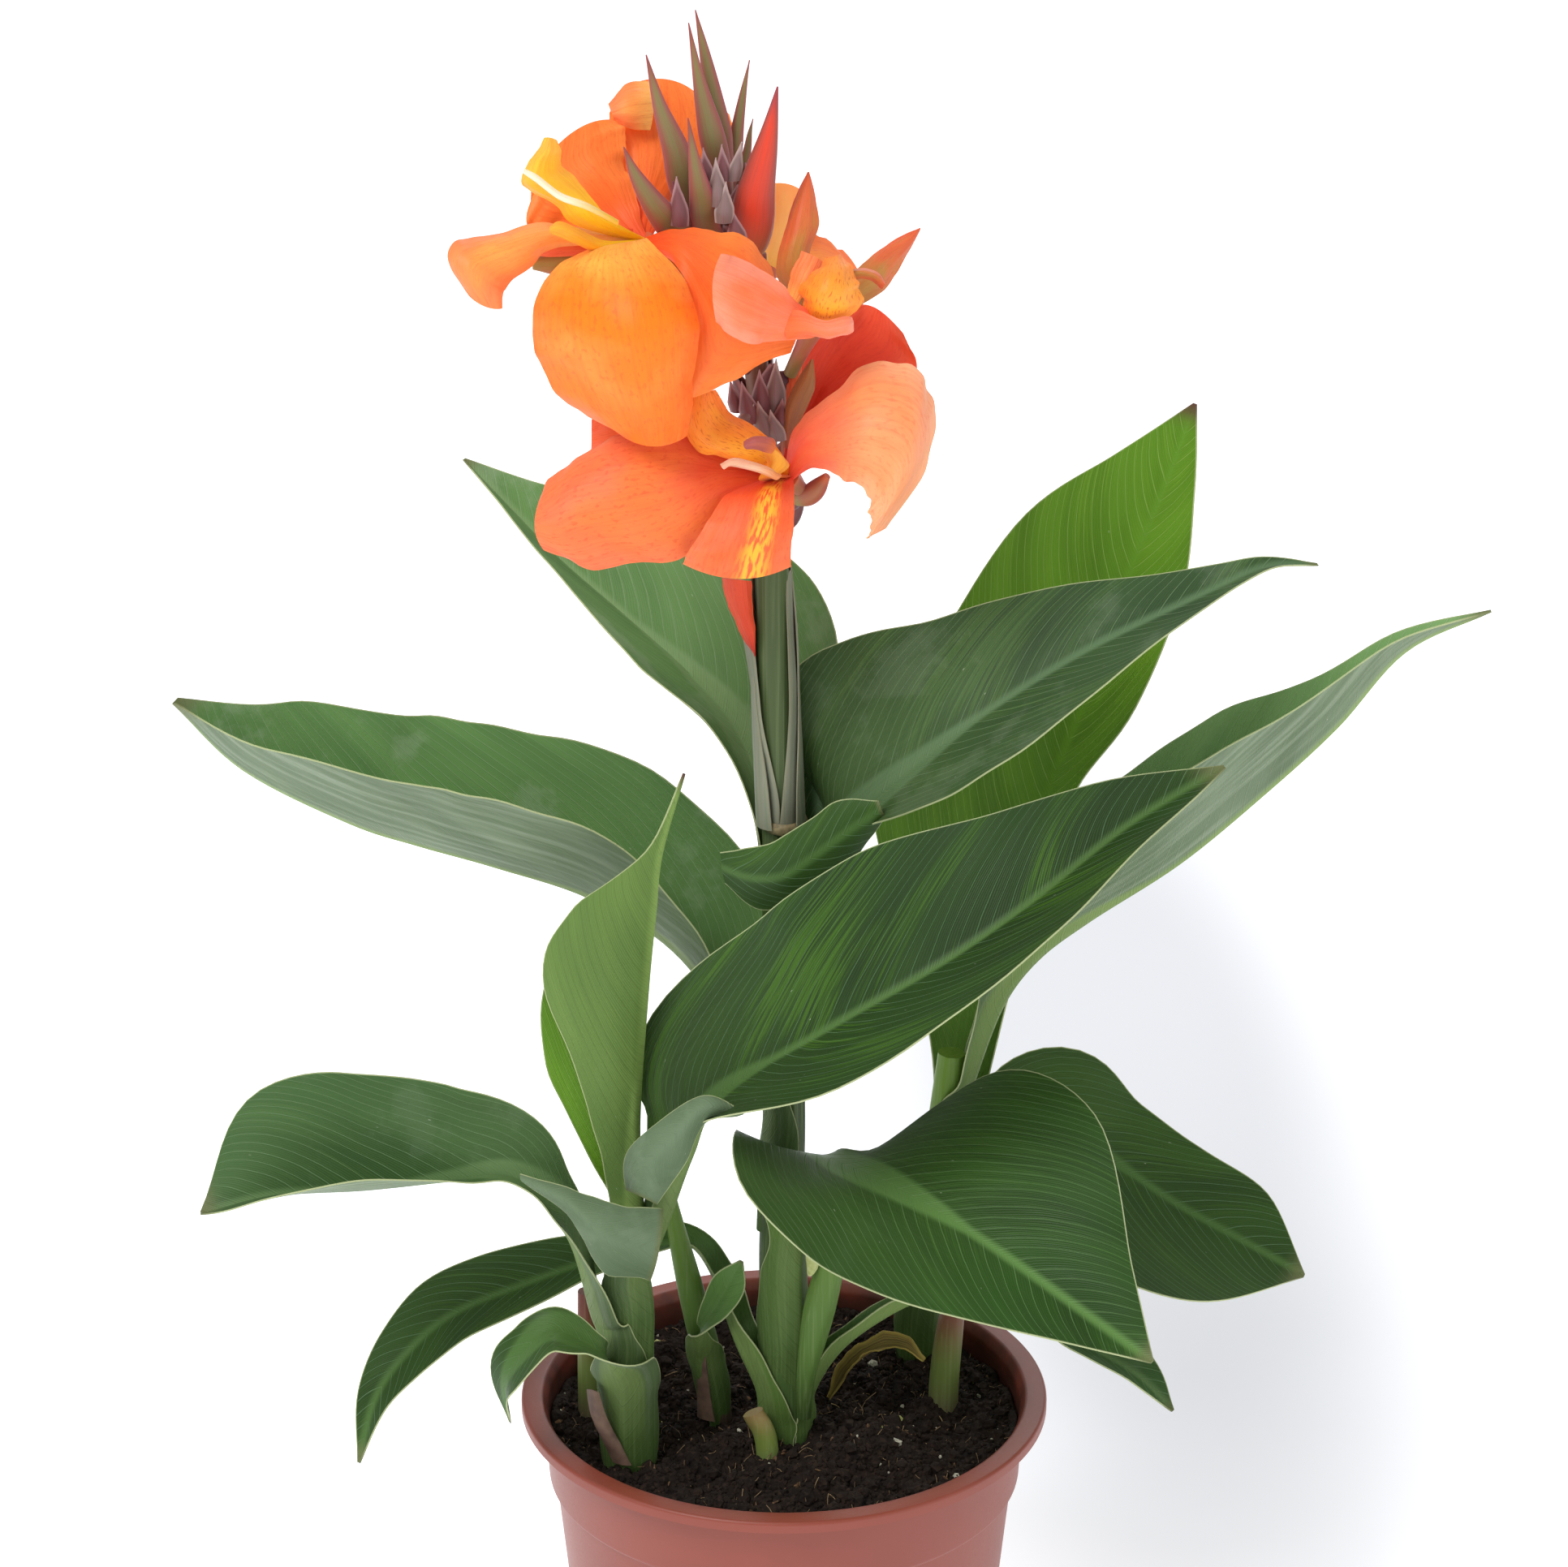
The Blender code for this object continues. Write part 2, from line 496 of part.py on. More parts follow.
    leaf("leaf_back_upright", (clasp(BACK_SHOOT, 184, 60), clasp(BACK_SHOOT, 202, 60, 1.8)),
         ((68, 64, 240), (76, 64, 290), (86, 62, 330), (97, 62, 364), (110, 63, 398), (123, 66, 440),
          (135, 70, 471), (144, 75, 497)),
         (14, 30, 56, 60, 56, 44, 22, 0.6), (10, 12, 12, 12, 22, 24, 12, 0.6),
         ((10, 10, 10), (10, 30, 20)), ((60, 10, 5, 5, 5), (60, 10, 5, 5, 5)),
         ((-0.3, -0.95, 0.1),), green, plant)
    leaf("leaf_furled", (),
         ((-50.5, -33, 219), (-50.5, -33, 238), (-51, -35, 262), (-49.5, -37, 290), (-46.5, -39, 326),
          (-43.5, -40, 352), (-41, -40, 372), (-33, -40, 400)),
         (12, 12, 20, 33, 30, 18, 6, 0.6), (12, 12, 13, 22, 35, 28, 9, 0.6),
         ((0, 0, 60, 75, 75, 75, 75, 60), (0, 0, 40, 55, 60, 60, 60, 60)),
         ((150, 150, 40, 20, 20, 20, 10, 0), (150, 150, 60, 50, 50, 40, 20, 0)),
         ((-1, 0, 0),), green, plant)
    leaf("leaf_right_low", (clasp(BACK_SHOOT, 154, -60, off=0.3), clasp(BACK_SHOOT, 168, -60, 1.8, 0.3),
                            clasp(BACK_SHOOT, 180, -60, 1.1, 3)),
         ((68, 31, 210), (80, 30, 232), (97, 30, 239), (118, 28, 228), (142, 22, 213), (166, 16, 201),
          (188, 10, 190)),
         (8, 21, 30, 23, 22, 20, 0.6), (8, 24, 38, 48, 50, 36, 0.6),
         ((20, 20, 20), (20, 10, 10)), ((40, 10, 10), (40, 10, 10)),
         ((-0.6, 0.5, 0.5), (-0.2, -0.2, 0.9), (0.1, -0.5, 0.85), (0.1, -0.5, 0.85), (0.1, -0.5, 0.85),
          (0.1, -0.5, 0.85), (0.1, -0.5, 0.85)), green, plant)
    leaf("leaf_low_right", (clasp(MAIN_STEM, 148, 6, 1.3), clasp(MAIN_STEM, 158, 4, 1.1, 0.6)),
         ((22, -14, 176), (45, -12, 191), (62, -14, 195), (84, -18, 191), (105, -26, 182), (124, -37, 175),
          (136, -46, 166)),
         (5, 6, 10, 16, 16, 9, 0.6), (5, 6, 10, 14, 16, 9, 0.6),
         ((40, 40, 25, 20), (40, 40, 25, 20)), ((30, 10, 10), (30, 10, 10)),
         ((-0.7, 0, 0.7), (0, -0.2, 1), (0, -0.2, 1)), green, plant)
    leaf("leaf_low_left", (clasp(MAIN_STEM, 148, 200, 1.5, 0.2), clasp(MAIN_STEM, 160, 195, 1.1, 1)),
         ((-17, -13, 178), (-24, 4, 192), (-34, 15, 201), (-50, 10, 203), (-68, 3, 200), (-92, -2, 193),
          (-118, -8, 184), (-135, -14, 171), (-146, -20, 156), (-152, -26, 134)),
         (6, 6, 7, 9, 10, 14, 16, 13, 8, 0.6), (6, 6, 7, 8, 10, 14, 16, 12, 7, 0.6),
         ((40, 20, 15), (40, 20, 15)), ((30, 10, 10), (30, 10, 10)),
         ((0.6, 0, 0.8), (0.3, -0.5, 0.85), (0, -0.5, 0.85), (0, -0.5, 0.8), (-0.5, -0.6, 0.4)), green, plant)
    leaf("leaf_curled", (clasp(LEFT_SHOOT, 153, 262, off=0.4), clasp(LEFT_SHOOT, 164, 262, 1.8, 0.4),
                         clasp(LEFT_SHOOT, 175, 262, 1.2, 3)),
         ((-62, -51, 190), (-71, -53, 198), (-80, -54, 202), (-88, -56, 197), (-96, -57, 184), (-95, -58, 168)),
         (12, 13, 13, 13, 12, 0.6), (6, 7, 8, 9, 10, 0.6),
         ((10, 10, 10), (10, 10, 10)), ((50, 10, 10), (30, 10, 10)),
         ((0.3, -0.2, 0.9), (0, -0.3, 0.9), (-0.3, -0.4, 0.8), (-0.7, -0.5, 0.5), (-0.9, -0.4, 0),
          (-0.9, -0.3, 0)),
         green, plant)
    leaf("leaf_spoon", (clasp(FRONT_SHOOT, 158, 250, off=0.3), clasp(FRONT_SHOOT, 166, 255, 1.4, 0.8)),
         ((-30, -12, 178), (-24, -14, 190), (-19, -16, 201), (-15, -16, 209)),
         (3.4, 5.6, 6.2, 0.6), (3.4, 5.6, 6.2, 0.6),
         ((20, 15, 10), (20, 15, 10)), ((20, 10, 10), (20, 10, 10)),
         ((0, -0.2, 1), (0, -0.9, 0.4), (0, -0.9, 0.4)), green, plant)


def make_sheaths(dry, faded, plant):
    sheath = blade_grid([clasp(MAIN_STEM, height, 100, off=off)[0] for height, off in
                         ((372, 0.3), (392, 0.5), (415, 0.8), (440, 1), (462, 1.4))],
                        (21, 19.5, 16.5, 13, 7), (21, 19.5, 16.5, 14.5, 11), ((0,), (0,)),
                        ((150, 140, 120, 100, 60), (150, 140, 120, 110, 100)), ((0.17, -1, 0),), 1, 3)
    sheet("flower_sheath", sheath, 0.7, dry, plant)
    petal("wedged_petal", ((-13, -13, 437), (-15, -15, 448), (-18, -15, 461)), (1, 3, 4), 20, 60,
          (0.4, -0.9, 0), faded, plant)
    petal("withered_leaf", ((16.5, 8, 141.2), (24, 8, 154), (33, 7, 162), (43, 4, 164.5), (50.5, -1, 161.5)),
          (1, 4, 5, 4, 1), 30, 30, (0, -0.4, 1), dry, plant)


def bloom(name, tube, mouth, petals, material, collection):
    """An open bloom: its petals and petal-like stamens stand in the mouth of a short tube, all one body. Each
    is drawn as a net of rows, and a narrow row in the mouth comes before them."""
    pieces = [spindle("tube", (*tube, mouth), (2.2, 2.6, 3.4, 4), 1, (0, -1, 0.1), 6, material, collection)]
    for index, rows in enumerate(petals):
        left, middle, right = np.array(rows[0], float)
        centre = np.array(mouth) + (0.45 + 0.31 * index) * unit(middle - mouth)
        half = (2.6 - 0.13 * index) * unit(right - left)
        pieces.append(net([(centre - half, centre, centre + half), *rows], material, collection))
    return united(name, pieces, collection)


def make_blooms(orange, plant):
    bloom("bloom_upper_left", ((-27, -20, 560), (-36, -24, 568)), (-45, -28, 575), (
        (((-64, -38, 574), (-53, -46, 577), (-42, -44, 578)), ((-75, -46, 566), (-52, -66, 571), (-31, -60, 570)),
         ((-79, -50, 550), (-50, -76, 557), (-27, -66, 557)), ((-76, -52, 540), (-47, -74, 541), (-28, -67, 544)),
         ((-68, -52, 529), (-44, -70, 528), (-29, -65, 533)), ((-55, -54, 521), (-42, -64, 518), (-31, -62, 521))),
        (((-33, -40, 582), (-33, -50, 578), (-32, -56, 572)), ((-21, -40, 582), (-23, -56, 570), (-28, -60, 554)),
         ((-9, -38, 575), (-14, -56, 559), (-30, -60, 533)), ((-1, -34, 562), (-5, -46, 551), (-16, -52, 537)),
         ((4, -30, 550), (4, -36, 546), (2, -42, 543))),
        (((-68, -34, 581), (-66, -38, 579), (-65, -36, 576)), ((-88, -42, 581), (-84, -50, 578), (-80, -46, 571)),
         ((-103, -50, 579), (-97, -58, 574), (-87, -54, 566)), ((-97, -57, 563), (-93, -58, 561), (-88, -57, 560))),
        (((-66, -38, 583), (-61, -42, 585), (-55, -38, 585)), ((-81, -48, 596), (-75, -52, 599), (-67, -46, 601)),
         ((-74, -54, 613), (-72, -54, 613.5), (-70, -53, 612))),
        (((-62, -22, 577), (-54, -20, 583), (-47, -18, 585)), ((-82, -24, 581), (-69, -16, 597), (-51, -8, 605)),
         ((-80, -19, 594), (-68, -12, 607), (-54, -6, 611))),
        (((-49, -14, 585), (-42, -12, 587), (-35, -8, 585)), ((-56, -2, 610), (-37, 2, 611), (-16, 8, 603)),
         ((-51, 4, 619), (-38, 8, 621), (-25, 12, 614))),
    ), orange, plant)
    bloom("bloom_right", ((2, -18, 530), (7, -25, 542)), (11, -30, 551), (
        (((12, -44, 554), (10, -48, 552), (9, -47, 549)), ((-4, -56, 570), (-8, -67, 562), (-10, -65, 551)),
         ((-20, -66, 579), (-22, -73, 571), (-21, -71, 559))),
        (((6, -42, 555), (12, -48, 554), (21, -42, 555)), ((5, -46, 562), (13, -56, 562), (25, -46, 563)),
         ((13, -42, 573), (16, -44, 574), (18, -40, 574))),
        (((-2, -24, 563), (3, -28, 566), (8, -24, 568)), ((0, -20, 577), (5, -24, 579), (11, -20, 579)),
         ((7, -14, 595), (7.8, -14, 595.3), (8.5, -14, 595))),
        (((24, -24, 566), (27, -28, 563), (30, -24, 557)), ((31, -18, 571), (33, -21, 568), (36, -18, 563)),
         ((43.6, -9, 576.4), (44, -9, 575.7), (44.2, -9, 575))),
    ), orange, plant)
    bloom("bloom_lower", ((6.8, -21, 491), (4, -27, 495)), (1, -34, 500), (
        (((-20, -42, 509), (-20, -46, 503), (-16, -48, 497)), ((-33, -44, 516), (-33, -55, 502), (-24, -52, 486)),
         ((-59, -44, 513), (-65, -62, 497), (-49, -62, 479)), ((-70, -46, 506), (-73, -62, 493), (-62, -62, 477)),
         ((-76, -50, 500), (-79, -60, 491), (-76, -60, 483))),
        (((-17, -50, 499), (-7, -52, 500), (3, -46, 498)), ((-30, -62, 483), (-13, -66, 483), (2, -58, 484)),
         ((-32, -62, 479), (-15, -66, 475), (2, -60, 477))),
        (((3, -34, 515), (7, -42, 511), (10, -42, 505)), ((22, -36, 534), (24, -58, 522), (22, -54, 502)),
         ((45, -40, 535), (39, -62, 518), (28, -58, 496)), ((48, -42, 525), (40, -62, 509), (27, -58, 492)),
         ((45, -48, 508), (36, -60, 499), (27, -58, 488)), ((33, -54, 488), (29, -57, 487), (27, -57, 486))),
        (((-3, -38, 511), (-6, -46, 510), (-10, -44, 506)), ((-17, -40, 522), (-23, -50, 518), (-27, -47, 512)),
         ((-22, -44, 531), (-27, -47, 530), (-31, -46, 528))),
        (((-34, -34, 518), (-33, -36, 513), (-32, -36, 508)), ((-62, -32, 518), (-62, -33, 513), (-62, -34, 508))),
        (((3, -20, 520), (9, -16, 522), (18, -18, 522)), ((14, -14, 544), (25, -6, 543), (43, -14, 530)),
         ((23, -10, 548), (29, -4, 549), (39, -8, 541))),
    ), orange, plant)
    bloom("bloom_back", ((-9.9, 0.7, 541.2), (-8, 8, 549)), (-6, 15, 557), (
        (((-11, 22, 566), (-2, 20, 568), (7, 22, 566)), ((-8, 27, 582), (0, 25, 584), (8, 27, 580))),
        (((-20, 34, 566), (-10, 38, 566), (-2, 32, 560)), ((-28, 46, 560), (-16, 52, 558), (-6, 46, 550)),
         ((-24, 50, 548), (-18, 54, 544), (-12, 50, 541))),
        (((4, 30, 566), (12, 28, 558), (14, 22, 549)), ((20, 38, 560), (26, 34, 550), (26, 28, 542))),
    ), orange, plant)


def make_spike(bronze, plant):
    axis = [(*place, radius) for place, radius in zip(SPIKE_LINE, (5.2, 4.4, 3.8, 3, 1.6))]
    pieces = [as_mesh(stem("axis", axis, bronze, plant), plant)]
    buds = (((-18, -10, 585), (-20, -11, 600), (-21, -12, 611), (-25, -13, 632), (-28, -12, 646), 4),
            ((-18, -11, 582), (-21, -15, 598), (-24, -18, 612), (-27, -20, 626), (-30, -19, 643), 4.2),
            ((-17, -11, 574), (-30, -20, 588), (-34, -27, 604), (-39, -31, 619), (-43, -32, 635), 5),
            ((-16, -11, 566), (-24, -22, 577), (-26, -31, 590), (-28, -35, 602), (-30, -36, 616), 4.5),
            ((-15, -11, 563), (-11, -18, 575), (-9, -24, 590), (-5, -26, 608), (-2, -25, 624), 7),
            ((-17, -9, 588), (-16, -9, 598), (-15, -7, 607), (-13, -5, 619), (-11, -4, 629), 2.4),
            ((-16, -9, 584), (-14, -4, 592), (-12, -2, 599), (-11, 1, 605), (-10, 3, 609), 1.6),
            ((-16, -11, 566), (-32, -24, 577), (-39, -35, 586), (-46, -40, 598), (-50, -42, 608), 5),
            ((-15, -11, 563), (-28, -18, 575), (-31, -26, 582), (-34, -29, 588), (-35, -30, 595), 3.4))
    pieces += [bud(line, width, bronze, plant) for *line, width in buds]
    ovaries = (((-8, -10, 524), (-2, -14, 526), (1.4, -17.4, 529), 3.4),
               ((-5, -10, 482), (1, -15, 486), (5.4, -19.4, 489.4), 3.4),
               ((-10, -10, 538), (-11, -4, 540), (-10.3, -0.8, 540.2), 3),
               ((-13, -10, 554), (-20, -15, 556), (-26.3, -19.6, 559.3), 3))
    for *line, width in ovaries:
        radii = [width * share for share in (0.8, 1, 1, 0.6)]
        pieces.append(spindle("ovary", line, radii, 1, (0, -1, 0.1), 6, bronze, plant))
    heights = [z for _, _, z in SPIKE_LINE]
    for index in range(BRACTS):
        share = index / (BRACTS - 1)
        turn = index * BRACT_TURN
        base = np.array([np.interp(474 + 110 * share, heights, column) for column in zip(*SPIKE_LINE)])
        out = np.array([math.cos(turn), math.sin(turn), 0])
        line = (base, base + 5 * out + (0, 0, 5), base + 7.2 * out + (0, 0, 12))
        pieces.append(spindle("bract", line, [1.6, 3.6, 3, 0.4], 0.5, -out, 5, bronze, plant))
    united("flower_spike", pieces, plant)


def main():
    for obj in list(bpy.data.objects):
        bpy.data.objects.remove(obj)
    scene = bpy.context.scene.collection
    plant = bpy.data.collections.new("potted_canna_lily")
    cutters = bpy.data.collections.new("cutters")
    scene.children.link(plant)
    scene.children.link(cutters)

    clay = finish("terracotta_polypropylene", "A85A48", 0.45)
    earth = finish("peat", "2C211C", 0.95)
    root = finish("rhizome_skin", "B79A78", 0.8)
    green = finish("canna_leaf", "3F6E3A", 0.45)
    stalk = finish("canna_stem", "6E8F4A", 0.5)
    dry = finish("dry_sheath", "8E8670", 0.7)
    orange = finish("canna_petal", "F5702F", 0.5)
    bronze = finish("canna_bud", "8A6A48", 0.5)

    make_pot(clay, plant, cutters)
    make_peat(earth, plant, cutters)
    make_rhizome("rhizome", root, plant)
    for name, line in (("main_stem", MAIN_STEM), ("left_shoot", LEFT_SHOOT), ("back_shoot", BACK_SHOOT),
                       ("front_shoot", FRONT_SHOOT), ("far_shoot", FAR_SHOOT), ("short_shoot", SHORT_SHOOT),
                       ("cut_stub", CUT_STUB)):
        as_mesh(stem(name, line, stalk, plant), plant)
    make_leaves(green, plant)
    make_sheaths(dry, orange, plant)
    make_spike(bronze, plant)
    make_blooms(orange, plant)


main()
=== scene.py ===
import math

import bmesh
import bpy
import numpy as np
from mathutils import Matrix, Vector, noise


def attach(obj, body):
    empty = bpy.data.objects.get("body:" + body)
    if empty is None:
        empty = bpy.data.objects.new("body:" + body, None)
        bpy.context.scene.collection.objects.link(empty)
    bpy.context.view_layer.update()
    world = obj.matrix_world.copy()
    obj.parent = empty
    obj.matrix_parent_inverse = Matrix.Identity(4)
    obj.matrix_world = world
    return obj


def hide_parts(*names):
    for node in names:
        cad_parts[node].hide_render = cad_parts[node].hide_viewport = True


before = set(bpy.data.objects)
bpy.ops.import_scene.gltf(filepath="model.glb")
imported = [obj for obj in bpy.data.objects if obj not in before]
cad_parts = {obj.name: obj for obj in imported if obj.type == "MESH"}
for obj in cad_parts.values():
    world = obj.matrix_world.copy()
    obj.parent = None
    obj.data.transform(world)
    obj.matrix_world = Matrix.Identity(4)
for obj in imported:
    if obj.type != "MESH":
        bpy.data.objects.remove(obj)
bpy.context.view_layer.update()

# Pot
# A nursery pot, 190 mm across its rolled rim, injection moulded in terracotta-coloured polypropylene.
# Its wall is one thin turned skin with a shallow step below the rim band, and its floor has six drain holes.
# Lengths are in millimetres all through the script, and MM turns them into metres.

MM = 0.001
POT_HEIGHT = 150
RIM_RADIUS = 95
BASE_RADIUS = 71
STEP_HEIGHT = 118
STEP_RADIUS = 83
BAND_RADIUS = 87
POT_WALL = 1.6
POT_SEGMENTS = 192
CORNER_RADIUS = 0.9
DRAIN_HOLES = 6
DRAIN_RADIUS = 5
DRAIN_RING = 52


def linear(hexadecimal):
    """An sRGB hex colour as linear RGBA."""
    channels = [int(hexadecimal[i:i + 2], 16) / 255 for i in (0, 2, 4)]
    return (*[c / 12.92 if c <= 0.04045 else ((c + 0.055) / 1.055) ** 2.4 for c in channels], 1)


def add(tree, kind, values=(), links=(), **settings):
    """A node with its own settings, the values of its unlinked sockets, and what is linked into it."""
    made = tree.nodes.new(kind)
    for name, value in settings.items():
        setattr(made, name, value)
    for socket, value in dict(values).items():
        made.inputs[socket].default_value = value
    for socket, source in dict(links).items():
        tree.links.new(source, made.inputs[socket])
    return made


def mixed(tree, share, first, second):
    """The colour between two others, each a hex colour or a socket, at a share that is a socket."""
    made = add(tree, "ShaderNodeMix", (), {0: share}, data_type="RGBA")
    for socket, colour in ((6, first), (7, second)):
        if isinstance(colour, str):
            made.inputs[socket].default_value = linear(colour)
        else:
            tree.links.new(colour, made.inputs[socket])
    return made.outputs[2]


def ramped(tree, value, from_min, from_max, to_min=0.0, to_max=1.0, soft=False):
    """A value that runs between two numbers while its input runs between two others."""
    limits = {"From Min": from_min, "From Max": from_max, "To Min": to_min, "To Max": to_max}
    ease = "SMOOTHSTEP" if soft else "LINEAR"
    return add(tree, "ShaderNodeMapRange", limits, {"Value": value},
               interpolation_type=ease).outputs["Result"]


def clouded(tree, place, scale, detail):
    """Soft noise at a place. Its scale is one number, or three where the noise is stretched."""
    if isinstance(scale, tuple):
        place = add(tree, "ShaderNodeMapping", {"Scale": scale}, {"Vector": place}).outputs["Vector"]
        scale = 1.0
    return add(tree, "ShaderNodeTexNoise", {"Scale": scale, "Detail": detail},
               {"Vector": place}).outputs["Fac"]


def reckoned(tree, operation, *terms, clamp=False):
    """The result of a Math node whose terms are numbers or sockets."""
    made = add(tree, "ShaderNodeMath", operation=operation, use_clamp=clamp)
    for index, term in enumerate(terms):
        if isinstance(term, (int, float)):
            made.inputs[index].default_value = term
        else:
            tree.links.new(term, made.inputs[index])
    return made.outputs[0]


def bumped(tree, shader, height, strength, distance):
    """Fine relief in the shader's normal, from a height that is a socket."""
    bump = add(tree, "ShaderNodeBump", {"Strength": strength, "Distance": distance}, {"Height": height})
    tree.links.new(bump.outputs["Normal"], shader.inputs["Normal"])


def new_finish(name, values):
    """A material with one Principled shader: (material, node tree, shader)."""
    material = bpy.data.materials.new(name)
    material.use_nodes = True
    shader = material.node_tree.nodes["Principled BSDF"]
    for socket, value in values.items():
        shader.inputs[socket].default_value = value
    return material, material.node_tree, shader


def new_tree(name, inputs):
    """An empty geometry node tree with named inputs: (tree, its input node, its output node)."""
    tree = bpy.data.node_groups.new(name, "GeometryNodeTree")
    tree.interface.new_socket("Geometry", in_out="INPUT", socket_type="NodeSocketGeometry")
    for label, kind in inputs.items():
        tree.interface.new_socket(label, in_out="INPUT", socket_type="NodeSocket" + kind)
    tree.interface.new_socket("Geometry", in_out="OUTPUT", socket_type="NodeSocketGeometry")
    return tree, tree.nodes.new("NodeGroupInput"), tree.nodes.new("NodeGroupOutput")


def finish_tree(tree, given, result, shape):
    """The end of a tree: a shape is shaded smooth, made real and given the finish that was handed in."""
    soft = add(tree, "GeometryNodeSetShadeSmooth", (), {"Geometry": shape})
    real = add(tree, "GeometryNodeRealizeInstances", (), {"Geometry": soft.outputs["Geometry"]})
    painted = add(tree, "GeometryNodeSetMaterial", (), {"Geometry": real.outputs["Geometry"],
                                                        "Material": given.outputs["Finish"]})
    tree.links.new(painted.outputs["Geometry"], result.inputs["Geometry"])


def placed(name, data):
    """A new object in the scene."""
    made = bpy.data.objects.new(name, data)
    bpy.context.scene.collection.objects.link(made)
    return made


def plain(obj, name):
    """The object's evaluated shape as a plain mesh object. The first object is removed."""
    bpy.context.view_layer.update()
    graph = bpy.context.evaluated_depsgraph_get()
    mesh = bpy.data.meshes.new_from_object(obj.evaluated_get(graph))
    bpy.data.objects.remove(obj)
    return placed(name, mesh)


def grown(obj, tree, name, values):
    """The object run through a geometry node tree, as a plain mesh object."""
    modifier = obj.modifiers.new("Grow", "NODES")
    modifier.node_group = tree
    for item in tree.interface.items_tree:
        if item.item_type == "SOCKET" and item.in_out == "INPUT" and item.name in values:
            modifier[item.identifier] = values[item.name]
    return plain(obj, name)


def rounded(profile, radius):
    """A profile with each of its corners turned by a small arc of four points."""
    corners = np.array(profile, float)
    points = [corners[0]]
    for before, corner, after in zip(corners, corners[1:], corners[2:]):
        room = min(radius, np.linalg.norm(before - corner) / 2.1, np.linalg.norm(after - corner) / 2.1)
        start = corner + room * (before - corner) / np.linalg.norm(before - corner)
        end = corner + room * (after - corner) / np.linalg.norm(after - corner)
        for u in (0, 1 / 3, 2 / 3, 1):
            points.append((1 - u) ** 2 * start + 2 * u * (1 - u) * corner + u * u * end)
    return points + [corners[-1]]


def dress(obj, nodes=()):
    """The piece rides on the plant's one body, and stands for the CAD nodes."""
    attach(obj, "root")
    if nodes:
        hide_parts(*nodes)
    return obj


# Moulded polypropylene: a satin skin with faint flow clouds and a fine grain that spreads the highlight.
pot_finish, tree, shader = new_finish("moulded_polypropylene", {"IOR": 1.49, "Roughness": 0.42})
place = add(tree, "ShaderNodeTexCoord").outputs["Object"]
clouds = clouded(tree, place, 1 / 0.035, 3)
grain = clouded(tree, place, 1 / 0.0009, 2)
skin = mixed(tree, clouds, "7E3628", "8F4231")
axes = add(tree, "ShaderNodeSeparateXYZ", (), {"Vector": place})
# Painted shade: the inside wall of the pot turns dark brown from the rim down to the peat, with a ragged
# noisy edge.
far_out = add(tree, "ShaderNodeVectorMath", {1: (1, 1, 0)}, {0: place}, operation="MULTIPLY")
faced = add(tree, "ShaderNodeNewGeometry").outputs["Normal"]
inward = add(tree, "ShaderNodeVectorMath", (), {0: far_out.outputs["Vector"], 1: faced},
             operation="DOT_PRODUCT")
within = ramped(tree, inward.outputs["Value"], 0.0, -0.02)
shade_edge_noise = clouded(tree, place, 1 / 0.012, 4)
level = reckoned(tree, "MULTIPLY_ADD", shade_edge_noise, 0.02, axes.outputs["Z"])
shade_fade = ramped(tree, level, 0.164, 0.15, 0.0, 0.8, soft=True)
painted_shade = reckoned(tree, "MULTIPLY", within, shade_fade, clamp=True)
shaded_skin = mixed(tree, painted_shade, skin, "2E1E18")
tree.links.new(shaded_skin, shader.inputs["Base Color"])
gloss = ramped(tree, grain, 0, 1, 0.36, 0.5)
tree.links.new(gloss, shader.inputs["Roughness"])
bumped(tree, shader, grain, 0.12, 0.0002)

turning, given, result = new_tree("turned_skin", {"Segments": "Int", "Reach": "Float", "Finish": "Material"})
ring = add(turning, "GeometryNodeCurvePrimitiveCircle", (), {"Resolution": given.outputs["Segments"],
                                                             "Radius": given.outputs["Reach"]})
outline = add(turning, "GeometryNodeMeshToCurve", (), {"Mesh": given.outputs["Geometry"]})
swept = add(turning, "GeometryNodeCurveToMesh", (), {"Curve": ring.outputs["Curve"],
                                                     "Profile Curve": outline.outputs["Curve"]})
merged = add(turning, "GeometryNodeMergeByDistance", {"Distance": 0.00002},
             {"Geometry": swept.outputs["Mesh"]})
finish_tree(turning, given, result, merged.outputs["Geometry"])

INNER_FLOOR = 1.8
outside = ((RIM_RADIUS, POT_HEIGHT - 4), (RIM_RADIUS - 1.2, POT_HEIGHT - 4), (RIM_RADIUS - 2, POT_HEIGHT - 2),
           (BAND_RADIUS + 1.5, POT_HEIGHT - 2.2), (BAND_RADIUS, POT_HEIGHT - 5),
           (STEP_RADIUS + 2.4, STEP_HEIGHT + 1.5), (STEP_RADIUS, STEP_HEIGHT), (BASE_RADIUS + 0.6, 3),
           (BASE_RADIUS - 1.5, 0), (0, 0))
inside = ((0, INNER_FLOOR), (BASE_RADIUS - 2.4, INNER_FLOOR), (BASE_RADIUS + 0.6 - POT_WALL, 3.6),
          (STEP_RADIUS - POT_WALL, STEP_HEIGHT), (STEP_RADIUS + 2.4 - POT_WALL, STEP_HEIGHT + 1.5),
          (BAND_RADIUS - POT_WALL, POT_HEIGHT - 4), (BAND_RADIUS + 0.4, POT_HEIGHT),
          (RIM_RADIUS - 0.8, POT_HEIGHT), (RIM_RADIUS, POT_HEIGHT - 0.8), (RIM_RADIUS, POT_HEIGHT - 4))
REACH = 100
outer_line = rounded(outside, CORNER_RADIUS)
profile = outer_line + rounded(inside, CORNER_RADIUS)
outline_mesh = bpy.data.meshes.new("pot_outline")
outline_mesh.from_pydata([((r - REACH) * MM, -z * MM, 0) for r, z in profile],
                         [(i, i + 1) for i in range(len(profile) - 1) if i != len(outer_line) - 1], [])
